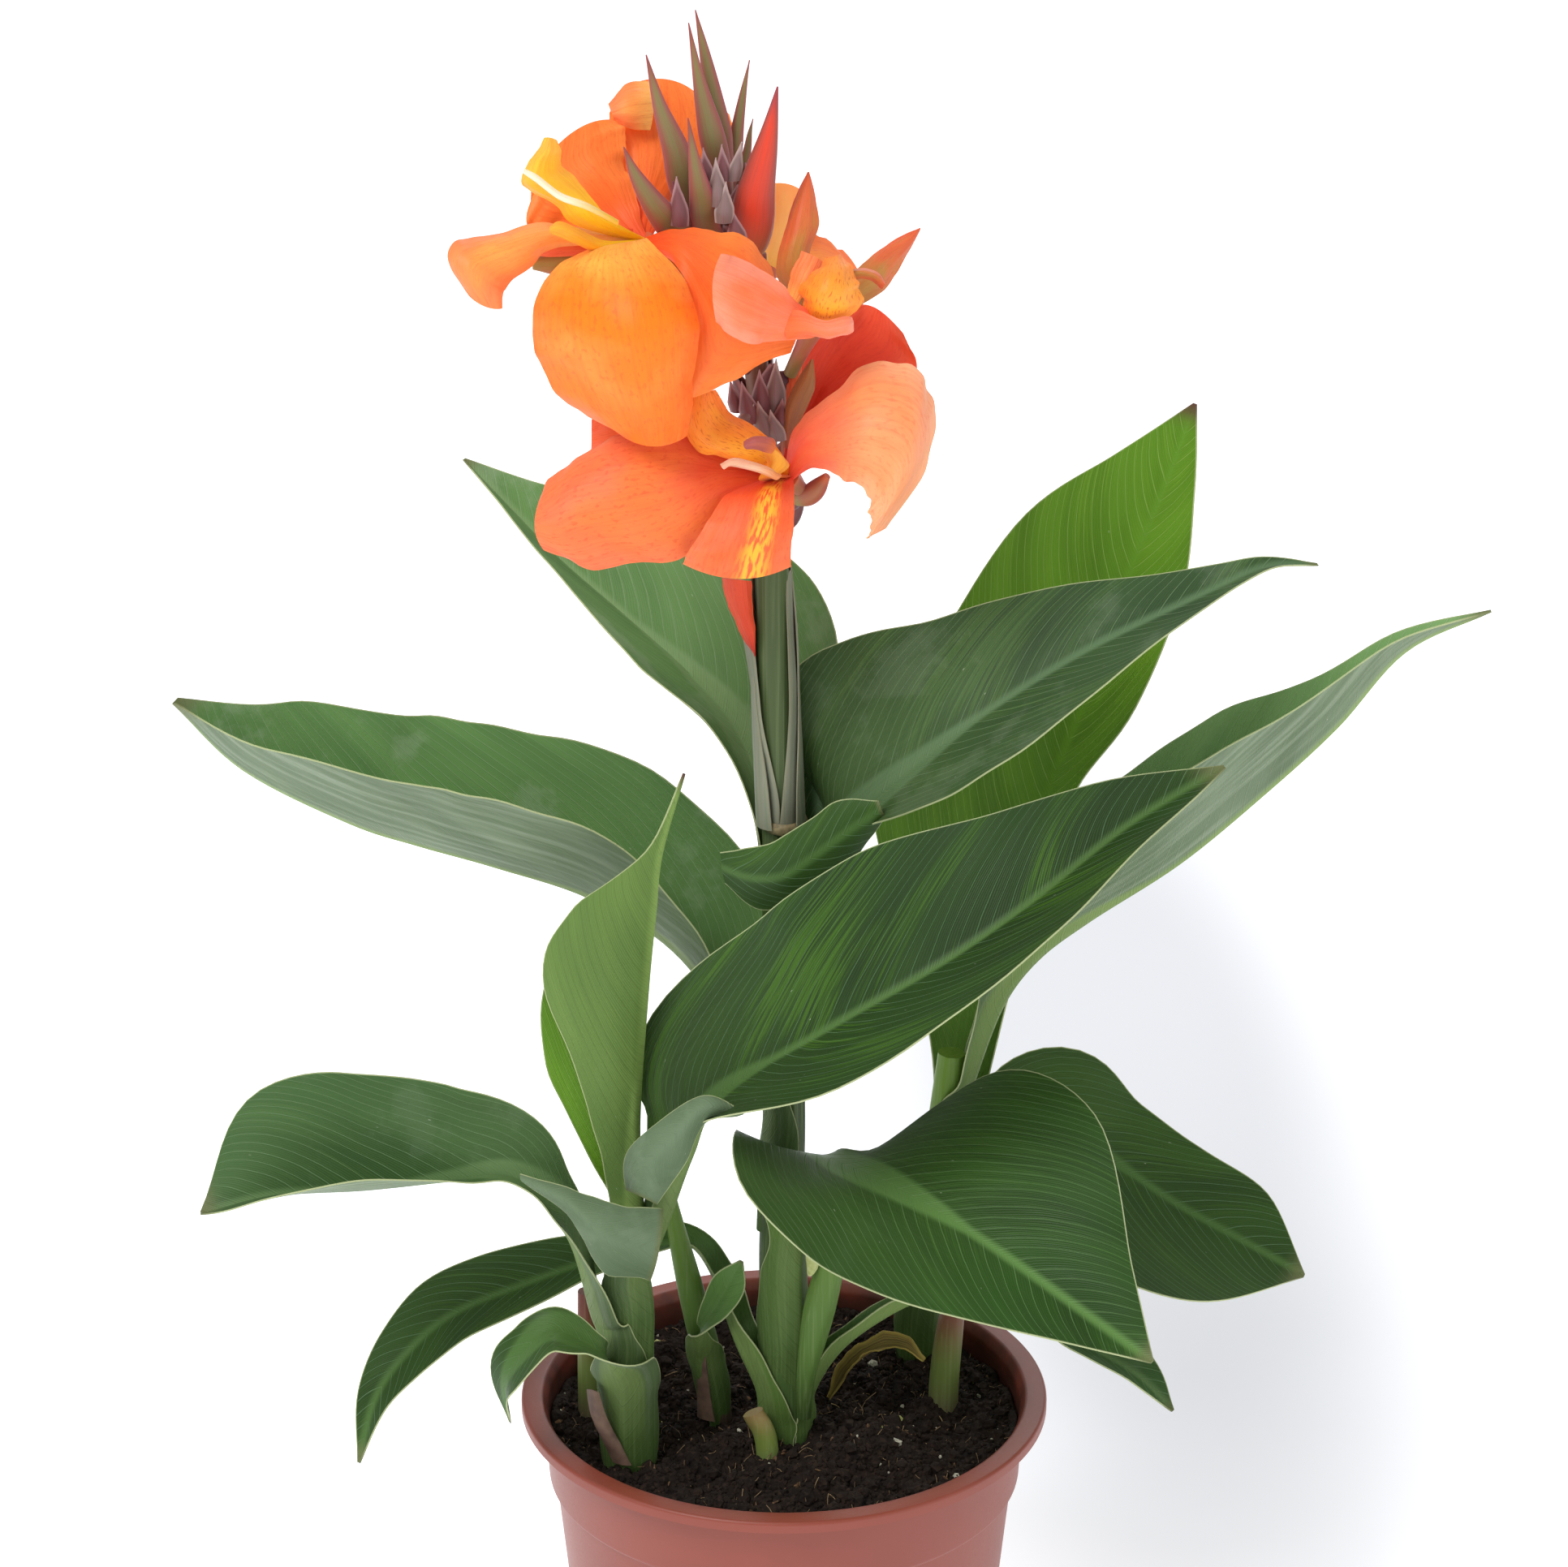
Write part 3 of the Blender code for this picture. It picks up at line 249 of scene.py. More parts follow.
pot = grown(placed("pot_outline", outline_mesh), turning, "nursery_pot",
            {"Segments": POT_SEGMENTS, "Reach": REACH * MM, "Finish": pot_finish})
work = bmesh.new()
work.from_mesh(pot.data)
bmesh.ops.remove_doubles(work, verts=work.verts, dist=0.00002)
bmesh.ops.recalc_face_normals(work, faces=work.faces)
work.to_mesh(pot.data)
work.free()
for index in range(DRAIN_HOLES):
    turn = math.tau * (index + 0.27) / DRAIN_HOLES
    bpy.ops.mesh.primitive_cylinder_add(vertices=24, radius=DRAIN_RADIUS * MM, depth=8 * MM,
                                        location=(DRAIN_RING * math.cos(turn) * MM,
                                                  DRAIN_RING * math.sin(turn) * MM, MM))
    drill = bpy.context.object
    hole = pot.modifiers.new("Drain", "BOOLEAN")
    hole.operation = "DIFFERENCE"
    hole.object = drill
    pot = plain(pot, "nursery_pot")
    bpy.data.objects.remove(drill)
pot.data.set_sharp_from_angle(angle=math.radians(40))
dress(pot, ["pot"])

# Peat
# Moist dark peat fills the pot to 11 mm below its rim. Loose crumbs, bark, white perlite and root fibres
# lie on it, and it is heaped a little to the right of the middle, where the rhizome lies high.

PEAT_TOP = 139
PEAT_FLOOR = 2.2
PEAT_ROUGHNESS = 2.2
MOUND_HEIGHT = 6
PEAT_EDGE = 84.4
PEAT_RINGS = 110
PEAT_SEGMENTS = 220


def peat_height(x, y):
    """The uneven top of the peat, with its low waves, its mound and its small lumps."""
    ripple = math.sin(0.11 * x + 1) * math.cos(0.13 * y) + 0.6 * math.sin(0.23 * x - 0.19 * y + 2)
    mound = math.exp(-((x - 28) ** 2 + (y + 28) ** 2) / 700)
    edge = min(1.0, max(0.0, 3 - 3 * math.hypot(x, y) / (BAND_RADIUS - 4)))
    lumps = 3.4 * noise.noise(Vector((x / 10, y / 10, 0))) + 2.2 * noise.noise(Vector((x / 4.2, y / 4.2, 9)))
    return PEAT_TOP + (PEAT_ROUGHNESS * ripple + MOUND_HEIGHT * mound) * edge + lumps


# Peat: near-black brown, matt, with tone changes from crumb to crumb and no shine.
peat_finish, tree, shader = new_finish("moist_peat", {"Roughness": 0.92, "Specular IOR Level": 0.25})
place = add(tree, "ShaderNodeTexCoord").outputs["Object"]
crumb_tone = add(tree, "ShaderNodeTexVoronoi", {"Scale": 1 / 0.0016}, {"Vector": place})
broad = add(tree, "ShaderNodeTexNoise", {"Scale": 1 / 0.011, "Detail": 5, "Roughness": 0.7},
            {"Vector": place})
tone = ramped(tree, broad.outputs["Fac"], 0.3, 0.8)
earth = mixed(tree, tone, "120C0A", "2A1E18")
single = add(tree, "ShaderNodeSeparateColor", (), {"Color": crumb_tone.outputs["Color"]})
bright = ramped(tree, single.outputs["Red"], 0.55, 1, 0.0, 0.5)
flecked = mixed(tree, bright, earth, "3A2A20")
tree.links.new(flecked, shader.inputs["Base Color"])
bumped(tree, shader, crumb_tone.outputs["Distance"], 0.7, 0.0008)

rings = [(PEAT_EDGE * i / PEAT_RINGS, None) for i in range(1, PEAT_RINGS + 1)]
rings += [(STEP_RADIUS + 0.2, STEP_HEIGHT + 1.5), (STEP_RADIUS - 2.2, STEP_HEIGHT), (BASE_RADIUS - 1.9, 4.6),
          (BASE_RADIUS - 3.2, PEAT_FLOOR)]
points = [(0, 0, peat_height(0, 0))]
for radius, height in rings:
    for step in range(PEAT_SEGMENTS):
        turn = math.tau * step / PEAT_SEGMENTS
        x = radius * math.cos(turn)
        y = radius * math.sin(turn)
        points.append((x, y, peat_height(x, y) if height is None else height))
points.append((0, 0, PEAT_FLOOR))
faces = []
for step in range(PEAT_SEGMENTS):
    after = (step + 1) % PEAT_SEGMENTS
    faces.append((0, 1 + step, 1 + after))
    for band in range(len(rings) - 1):
        low = 1 + band * PEAT_SEGMENTS
        faces.append((low + step, low + PEAT_SEGMENTS + step, low + PEAT_SEGMENTS + after, low + after))
    last = 1 + (len(rings) - 1) * PEAT_SEGMENTS
    faces.append((len(points) - 1, last + after, last + step))
peat_mesh = bpy.data.meshes.new("peat_body")
peat_mesh.from_pydata([(x * MM, y * MM, z * MM) for x, y, z in points], [], faces)
peat_mesh.materials.append(peat_finish)
peat_mesh.shade_smooth()
peat = placed("peat_body", peat_mesh)
dress(peat, ["peat"])

scatter, given, result = new_tree("scattered_bits", {"Density": "Float", "Size": "Float", "Seed": "Int",
                                                     "Squash": "Vector", "Unevenness": "Float",
                                                     "Bit": "Object",
                                                     "Finish": "Material"})
spots = add(scatter, "GeometryNodeDistributePointsOnFaces", (), {"Mesh": given.outputs["Geometry"],
                                                                 "Density": given.outputs["Density"],
                                                                 "Seed": given.outputs["Seed"]})
turns = add(scatter, "FunctionNodeRandomValue", {0: (0, 0, 0), 1: (6.28, 6.28, 6.28)},
            {"Seed": given.outputs["Seed"]}, data_type="FLOAT_VECTOR")
spun = add(scatter, "FunctionNodeEulerToRotation", (), {"Euler": turns.outputs[0]})
sizes = add(scatter, "FunctionNodeRandomValue", {2: 0.35, 3: 1.0}, {"Seed": given.outputs["Seed"]},
            data_type="FLOAT")
scaled = reckoned(scatter, "MULTIPLY", sizes.outputs[1], given.outputs["Size"])
shaped = add(scatter, "ShaderNodeVectorMath", (), {0: given.outputs["Squash"], 3: scaled},
             operation="SCALE")
bit = add(scatter, "GeometryNodeObjectInfo", (), {"Object": given.outputs["Bit"]})
laid = add(scatter, "GeometryNodeInstanceOnPoints", (), {"Points": spots.outputs["Points"],
                                                         "Instance": bit.outputs["Geometry"],
                                                         "Rotation": spun.outputs["Rotation"],
                                                         "Scale": shaped.outputs["Vector"]})
real = add(scatter, "GeometryNodeRealizeInstances", (), {"Geometry": laid.outputs["Instances"]})
where = add(scatter, "GeometryNodeInputPosition")
uneven = add(scatter, "ShaderNodeTexNoise", {"Scale": 1 / 0.0012, "Detail": 1}, {"Vector": where.outputs[0]})
centred = add(scatter, "ShaderNodeVectorMath", {1: (-0.5, -0.5, -0.5)}, {0: uneven.outputs["Color"]},
              operation="ADD")
pushed = add(scatter, "ShaderNodeVectorMath", (),
             {0: centred.outputs["Vector"], 3: given.outputs["Unevenness"]},
             operation="SCALE")
broken = add(scatter, "GeometryNodeSetPosition", (), {"Geometry": real.outputs["Geometry"],
                                                      "Offset": pushed.outputs["Vector"]})
painted = add(scatter, "GeometryNodeSetMaterial", (), {"Geometry": broken.outputs["Geometry"],
                                                       "Material": given.outputs["Finish"]})
scatter.links.new(painted.outputs["Geometry"], result.inputs["Geometry"])


def flat_finish(name, dark, light, grain_mm, roughness):
    """A natural matt surface whose tone wanders between two colours, with grains of the given size."""
    material, tree, shader = new_finish(name, {"Roughness": roughness})
    place = add(tree, "ShaderNodeTexCoord").outputs["Object"]
    grain = clouded(tree, place, 1 / (grain_mm * MM), 4)
    spread_out = ramped(tree, grain, 0.35, 0.65)
    tone = mixed(tree, spread_out, dark, light)
    tree.links.new(tone, shader.inputs["Base Color"])
    bumped(tree, shader, grain, 0.4, 0.0003)
    return material


def litter_bed():
    """The top of the peat alone, where loose bits come to lie."""
    bed = bpy.data.meshes.new("litter_bed")
    count = 1 + (PEAT_RINGS - 3) * PEAT_SEGMENTS
    bed.from_pydata([v.co for v in peat_mesh.vertices[:count]], [],
                    [tuple(p.vertices) for p in peat_mesh.polygons if max(p.vertices) < count])
    return placed("litter_bed", bed)


bpy.ops.mesh.primitive_ico_sphere_add(subdivisions=1, radius=1)
pebble = bpy.context.object
fibre_curve = bpy.data.curves.new("fibre", "CURVE")
fibre_curve.dimensions = "3D"
fibre_curve.bevel_depth = 0.018
fibre_curve.bevel_resolution = 0
strand = fibre_curve.splines.new("POLY")
strand.points.add(6)
for index, point in enumerate(strand.points):
    share = index / 6
    point.co = (share - 0.5, 0.16 * math.sin(4.2 * share), 0.1 * math.sin(3.1 * share + 0.4), 1)
fibre = placed("fibre", fibre_curve)
perlite_finish = flat_finish("expanded_perlite", "8E8878", "D2CCBC", 0.8, 0.8)
bark_finish = flat_finish("bark_chips", "4A3222", "7A5A3C", 1.5, 0.85)
fibre_finish = flat_finish("peat_fibres", "6B5138", "A58A63", 2.0, 0.8)
bead_finish = flat_finish("fertiliser_beads", "8E8F4E", "B9B56B", 1.0, 0.5)
for name, bit, density, size, squash, unevenness, seed, look in (
        ("peat_crumbs", pebble, 240000, 1.5, (1, 1, 0.8), 0.9, 3, peat_finish),
        ("peat_clods", pebble, 20000, 3.6, (1, 0.9, 0.7), 2.6, 5, peat_finish),
        ("perlite", pebble, 4200, 0.8, (1, 0.9, 0.8), 0.5, 8, perlite_finish),
        ("coarse_perlite", pebble, 500, 2.6, (1, 0.85, 0.6), 1.6, 31, perlite_finish),
        ("bark_chips", pebble, 7000, 2.3, (1, 0.5, 0.22), 0.6, 12, bark_finish),
        ("fertiliser_beads", pebble, 420, 1.9, (1, 1, 0.9), 0.2, 21, bead_finish),
        ("peat_fibres", fibre, 11000, 9.0, (1, 1, 1), 0.3, 17, fibre_finish)):
    litter = grown(litter_bed(), scatter, name, {"Density": density, "Size": size * MM, "Seed": seed,
                                                 "Squash": squash, "Unevenness": unevenness * MM, "Bit": bit,
                                                 "Finish": look})
    dress(litter)
bpy.data.objects.remove(pebble)
bpy.data.objects.remove(fibre)

# Rhizome
# The fleshy buff root stock from which all shoots rise. It lies in the peat, out of sight.

rhizome_finish = flat_finish("rhizome_skin", "9C7D5B", "CDB08C", 6, 0.75)
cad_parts["rhizome"].material_slots[0].material = rhizome_finish

# Shoots
# Six fleshy shoots and the stub of a cut one, each a green stalk with fine lengthwise ribs.
# They are swept along their centre lines, and the leaf bases and the flower's sheath wrap them.

MAIN_STEM = ((1, -15, 100, 8.5), (1, -15, 152, 8.5), (-1, -14, 215, 7.7), (1, -12, 262, 6.5),
             (0, -11, 320, 6.3), (-1, -10, 368, 6.4), (-3, -10, 420, 6), (-4, -10, 463, 5.6))
LEFT_SHOOT = ((-55, -30, 100, 9.5), (-55, -30, 152, 9.5), (-55, -31, 196, 8.8), (-55, -32, 218, 7.4))
BACK_SHOOT = ((50, 48, 100, 7.8), (50, 48, 152, 7.8), (57, 47, 215, 6.8), (61, 46, 262, 5))
FRONT_SHOOT = ((-25, 1, 100, 5.6), (-25, 1, 146, 5.6), (-29, 1, 168, 5.2), (-34, 0, 192, 4.6),
               (-39, -2, 218, 3), (-42, -4, 240, 1))
FAR_SHOOT = ((-70.5, 3, 100, 4.4), (-70.5, 3, 150, 4.4), (-71, 2, 188, 3.2))
SHORT_SHOOT = ((58, 4, 100, 5.4), (58, 4, 146, 5.4), (60, 4, 172, 4.8), (62, 4, 184, 3.4))
CUT_STUB = ((-6, -31, 100, 4), (-6, -31, 143, 4), (-11, -29, 156, 3.8))


def unit(vectors):
    """Each vector at length one."""
    return vectors / np.linalg.norm(vectors, axis=-1, keepdims=True)


def smooth(rows, count):
    """Rows along a smooth curve through the given ones, evenly spaced between the first and the last."""
    rows = np.asarray(rows, float)
    slopes = np.gradient(rows, axis=0)
    at = np.linspace(0, len(rows) - 1, count)
    span = np.minimum(at.astype(int), len(rows) - 2)
    u = (at - span)[:, None]
    return ((1 + 2 * u) * (1 - u) ** 2 * rows[span] + u * (1 - u) ** 2 * slopes[span]
            + u * u * (3 - 2 * u) * rows[span + 1] + u * u * (u - 1) * slopes[span + 1])


def stalk_finish(name, foot, middle, top, heights):
    """A waxy green stalk. Its colour runs from foot to middle to top between three heights in millimetres,
    and pale ribs 1.1 mm apart run up it."""
    material, tree, shader = new_finish(name, {"Roughness": 0.45, "IOR": 1.4, "Specular IOR Level": 0.35})
    place = add(tree, "ShaderNodeTexCoord").outputs["Object"]
    axes = add(tree, "ShaderNodeSeparateXYZ", (), {"Vector": place})
    low = ramped(tree, axes.outputs["Z"], heights[0] * MM, heights[1] * MM, soft=True)
    high = ramped(tree, axes.outputs["Z"], heights[1] * MM, heights[2] * MM, soft=True)
    lower = mixed(tree, low, foot, middle)
    whole = mixed(tree, high, lower, top)
    ribs = clouded(tree, place, (1 / 0.0011, 1 / 0.0011, 1 / 0.05), 2)
    pale = ramped(tree, ribs, 0.5, 0.75, 0.0, 0.2)
    streaked = mixed(tree, pale, whole, "9FB07E")
    tree.links.new(streaked, shader.inputs["Base Color"])
    bumped(tree, shader, ribs, 0.35, 0.0003)
    return material


shooting, given, result = new_tree("ribbed_stalk", {"Sides": "Int", "Ribs": "Float", "Rib depth": "Float",
                                                    "Finish": "Material"})
ring = add(shooting, "GeometryNodeCurvePrimitiveCircle", {"Radius": 1.0},
           {"Resolution": given.outputs["Sides"]})
order = add(shooting, "GeometryNodeInputIndex")
turn = reckoned(shooting, "DIVIDE", order.outputs[0], given.outputs["Sides"])
phase = reckoned(shooting, "MULTIPLY", turn, given.outputs["Ribs"])
angle = reckoned(shooting, "MULTIPLY", phase, math.tau)
swell = reckoned(shooting, "SINE", angle)
depth = reckoned(shooting, "MULTIPLY", swell, given.outputs["Rib depth"])
where = add(shooting, "GeometryNodeInputPosition")
offset = add(shooting, "ShaderNodeVectorMath", (), {0: where.outputs[0], 3: depth}, operation="SCALE")
ribbed = add(shooting, "GeometryNodeSetPosition", (), {"Geometry": ring.outputs["Curve"],
                                                       "Offset": offset.outputs["Vector"]})
girth = add(shooting, "GeometryNodeInputRadius")
swept = add(shooting, "GeometryNodeCurveToMesh", {"Fill Caps": True},
            {"Curve": given.outputs["Geometry"], "Profile Curve": ribbed.outputs["Geometry"],
             "Scale": girth.outputs[0]})
finish_tree(shooting, given, result, swept.outputs["Mesh"])


def centre_line(name, rows):
    """A curve through rows of (x, y, z, radius) in millimetres."""
    curve = bpy.data.curves.new(name, "CURVE")
    curve.dimensions = "3D"
    spline = curve.splines.new("POLY")
    spline.points.add(len(rows) - 1)
    for point, (x, y, z, radius) in zip(spline.points, rows):
        point.co = (x * MM, y * MM, z * MM, 1)
        point.radius = max(radius, 0.2) * MM
    return placed(name, curve)


main_finish = stalk_finish("flower_stalk_skin", "466030", "34461E", "4E5E38", (140, 260, 440))
# The dark foot colour of the young shoots is painted shade where they rise from the peat.
young_finish = stalk_finish("young_shoot_skin", "2E3E20", "557334", "6A8A34", (138, 185, 250))
dusky_finish = stalk_finish("dusky_shoot_skin", "4E3A34", "5A7838", "6A8A34", (136, 160, 250))
red_finish = stalk_finish("reddish_shoot_skin", "5E5440", "6C7C40", "7A4034", (136, 156, 184))
stub_finish = stalk_finish("dried_stub_skin", "6E7E48", "75863E", "8A7448", (138, 146, 157))
for node, line, look, ribs in (("main_stem", MAIN_STEM, main_finish, 9),
                               ("left_shoot", LEFT_SHOOT, young_finish, 7),
                               ("back_shoot", BACK_SHOOT, young_finish, 7),
                               ("front_shoot", FRONT_SHOOT, dusky_finish, 5),
                               ("far_shoot", FAR_SHOOT, red_finish, 5),
                               ("short_shoot", SHORT_SHOOT, red_finish, 6),
                               ("cut_stub", CUT_STUB, stub_finish, 5)):
    shoot = grown(centre_line("line_" + node, smooth(line, 12 * len(line))), shooting, node + "_skin",
                  {"Sides": 48, "Ribs": float(ribs), "Rib depth": 0.018, "Finish": look})
    dress(shoot, [node])

# Leaves
# Fourteen leaf blades, each with a raised midrib, side veins that sweep forward to a thin cream margin, and a
# base that wraps its shoot. The upper face is dark and waxy, the lower one paler and grey-green.

SHEATH_GAP = 0.35
LEAF_STEPS = 8
LEAF_RIBS = 14
LEAF_THICKNESS = 0.5
NET_STEPS = 8
NET_RIBS = 12
PETAL_THICKNESS = 0.45
MIDRIB_THICKNESS = 2.4
MAJOR_VEINS = 6.5
FINE_VEINS = 1.3


def blade_maps(tree):
    """What a blade carries: its veins map, its zones and the single channels of the zones."""
    drawn = add(tree, "ShaderNodeUVMap", uv_map="veins").outputs["UV"]
    zones = add(tree, "ShaderNodeAttribute", attribute_name="zones")
    zone = add(tree, "ShaderNodeSeparateColor", (), {"Color": zones.outputs["Color"]})
    return drawn, zones.outputs, zone.outputs


def leaf_finish(name, deep, fresh, vein, streak, streaks, rib, foot="465E2C", roughness=0.42, haze=0.0,
                silk=0.0, majors=0.85, tip="6A7048"):
    """One face of a leaf. deep and fresh are its two greens, vein the colour of its side veins, streak that
    of its paler flecks, streaks how strong they are, rib its midrib, foot its wrapping base and tip its dry
    point. haze is the strength of its pale patches of painted sheen, silk that of its painted lengthwise
    sheen and majors that of its major veins."""
    material, tree, shader = new_finish(name, {"IOR": 1.4, "Specular IOR Level": 0.28, "Sheen Weight": 0.02,
                                               "Sheen Roughness": 0.4})
    drawn, zones, zone = blade_maps(tree)
    apart = add(tree, "ShaderNodeSeparateXYZ", (), {"Vector": drawn})
    waver = clouded(tree, drawn, 0.05, 2)
    moved = reckoned(tree, "MULTIPLY_ADD", waver, 6.0, apart.outputs["X"])
    fine_turn = reckoned(tree, "MULTIPLY", moved, math.tau / FINE_VEINS)
    fine = reckoned(tree, "SINE", fine_turn)
    saw = reckoned(tree, "PINGPONG", moved, MAJOR_VEINS / 2)
    major = ramped(tree, saw, 0.04, 0.4, 1.0, 0.0, soft=True)
    cloud = clouded(tree, drawn, 0.028, 3)
    mixing = ramped(tree, cloud, 0.35, 0.65)
    green = mixed(tree, mixing, deep, fresh)
    faint = reckoned(tree, "MULTIPLY_ADD", fine, 0.05, 0.05)
    lines = reckoned(tree, "MULTIPLY_ADD", major, majors, faint)
    veined = mixed(tree, lines, green, vein)
    dashes = clouded(tree, drawn, (0.75, 0.06, 1), 2)
    patches = clouded(tree, drawn, 0.022, 1)
    both = reckoned(tree, "MULTIPLY", dashes, patches)
    fleck = ramped(tree, both, 0.25, 0.4, 0.0, streaks, soft=True)
    flecked = mixed(tree, fleck, veined, streak)
    # Painted sheen: pale patches, as strong as haze, and a pale lengthwise sheen, as strong as silk.
    place = add(tree, "ShaderNodeTexCoord").outputs["Object"]
    sheen_patch_noise = add(tree, "ShaderNodeTexNoise", {"Scale": 1 / 0.034, "Detail": 6, "Roughness": 0.62},
                {"Vector": place})
    sheen_patch_mask = ramped(tree, sheen_patch_noise.outputs["Fac"], 0.52, 0.62, 0.0, haze, soft=True)
    waxy = mixed(tree, sheen_patch_mask, flecked, "A9BA9E")
    comb = clouded(tree, drawn, (0.012, 0.42, 1), 3)
    sheen = ramped(tree, comb, 0.42, 0.7, 0.0, silk, soft=True)
    silky = mixed(tree, sheen, waxy, "B6C2AC")
    grains = add(tree, "ShaderNodeTexVoronoi", {"Scale": 0.13}, {"Vector": drawn})
    speck = ramped(tree, grains.outputs["Distance"], 0.02, 0.035, 0.55, 0.0)
    dusty = mixed(tree, speck, silky, "D6DCC8")
    off = reckoned(tree, "ABSOLUTE", apart.outputs["Y"])
    widened = reckoned(tree, "MULTIPLY_ADD", zones["Alpha"], -6.0, off)
    spine = ramped(tree, widened, 0.2, 2.8, 0.75, 0.0, soft=True)
    ribbed = mixed(tree, spine, dusty, rib)
    threads = clouded(tree, drawn, (0.02, 1.1, 1), 2)
    thread = ramped(tree, threads, 0.45, 0.75, 0.0, 0.35)
    wrap = mixed(tree, thread, foot, "788E58")
    footed = mixed(tree, zone["Red"], ribbed, wrap)
    rim = ramped(tree, zone["Blue"], 0.01, 0.05, 0.85, 0.0, soft=True)
    rimmed = mixed(tree, rim, footed, "B4BC8C")
    tipped = mixed(tree, zone["Green"], rimmed, tip)
    tree.links.new(tipped, shader.inputs["Base Color"])
    dust = clouded(tree, drawn, 0.09, 4)
    dull = ramped(tree, dust, 0.3, 0.7, roughness - 0.06, roughness + 0.12)
    tree.links.new(dull, shader.inputs["Roughness"])
    ridge = reckoned(tree, "MULTIPLY_ADD", fine, 0.15, major)
    bumped(tree, shader, ridge, 0.5, 0.0003)
    return material


def spread(values, count):
    """A few values along a blade, read off at each of its control points."""
    columns = np.array(values, float)
    if columns.ndim < 2:
        columns = np.atleast_1d(columns)[:, None]
    knots = np.linspace(0, 1, len(columns))
    at = np.linspace(0, 1, count)
    return np.column_stack([np.interp(at, knots, column) for column in columns.T])


def margin_wave(travel, side, waves, phase, strength, count):
    """Three waves on top of each other along a margin. The last one has its own strength and count."""
    wave = np.sin(math.tau * (waves * travel + phase + 0.31 * side))
    wave = wave + 0.5 * np.sin(math.tau * (2.3 * waves * travel + 1.7 * phase - 0.2 * side))
    return wave + strength * np.sin(math.tau * (count * waves * travel + 2.9 * phase + 0.4 * side))


def blade_grid(midrib, left, right, fold, curl, faces, steps, ribs, frill=(0, 1, 0)):
    """The upper surface of a leaf or petal as a grid of points, from its base to its tip and from its left
    margin to its right one. left and right are half widths. fold turns each half up at the midrib and curl
    bends it further out to its margin, both in degrees as (left values, right values). faces is where the
    upper surface looks, and frill is the (height, count, phase) of the waves along both margins."""
    count = len(midrib)
    columns = [spread(values, count) for values in (left, right, *fold, *curl, faces)]
    stations = (count - 1) * steps + 1
    rows = smooth(np.column_stack([np.array(midrib, float), *columns]), stations)
    place = rows[:, :3]
    along = unit(np.gradient(place, axis=0))
    face = rows[:, 9:12]
    up = unit(face - (face * along).sum(1, keepdims=True) * along)
    out = np.cross(along, up)
    height, waves, phase = frill
    travel = np.linspace(0, 1, stations)
    hem = np.sin(math.pi * np.clip(travel * 1.02, 0, 1)) ** 0.7
    grid = np.empty((stations, 2 * ribs + 1, 3))
    for side in (-1, 1):
        half = (side + 1) // 2
        width = np.maximum(rows[:, 3 + half], 0.5)
        start = np.radians(rows[:, 5 + half])
        bend = np.radians(rows[:, 7 + half])
        wave = margin_wave(travel, side, waves, phase, 0.3, 5.1)
        for rib in range(ribs + 1):
            share = rib / ribs
            turn = bend * share
            chord = width * share * np.sinc(turn / 2 / math.pi)
            across = chord * np.cos(start + turn / 2)
            lift = chord * np.sin(start + turn / 2) + height * share ** 2.5 * wave * hem
            grid[:, ribs + side * rib] = place + side * out * across[:, None] + up * lift[:, None]
    return grid


def mapped(name, mesh, drawn, zones):
    """The mesh as a piece that carries a veins map and a zones colour, given for each of its points."""
    corners = np.empty(len(mesh.loops), int)
    mesh.loops.foreach_get("vertex_index", corners)
    mesh.uv_layers.new(name="veins").data.foreach_set("uv", drawn[corners].ravel())
    layer = mesh.attributes.new("zones", "FLOAT_COLOR", "POINT")
    layer.data.foreach_set("color", zones.ravel())
    mesh.shade_smooth()
    mesh.set_sharp_from_angle(angle=math.radians(60))
    return placed(name, mesh)


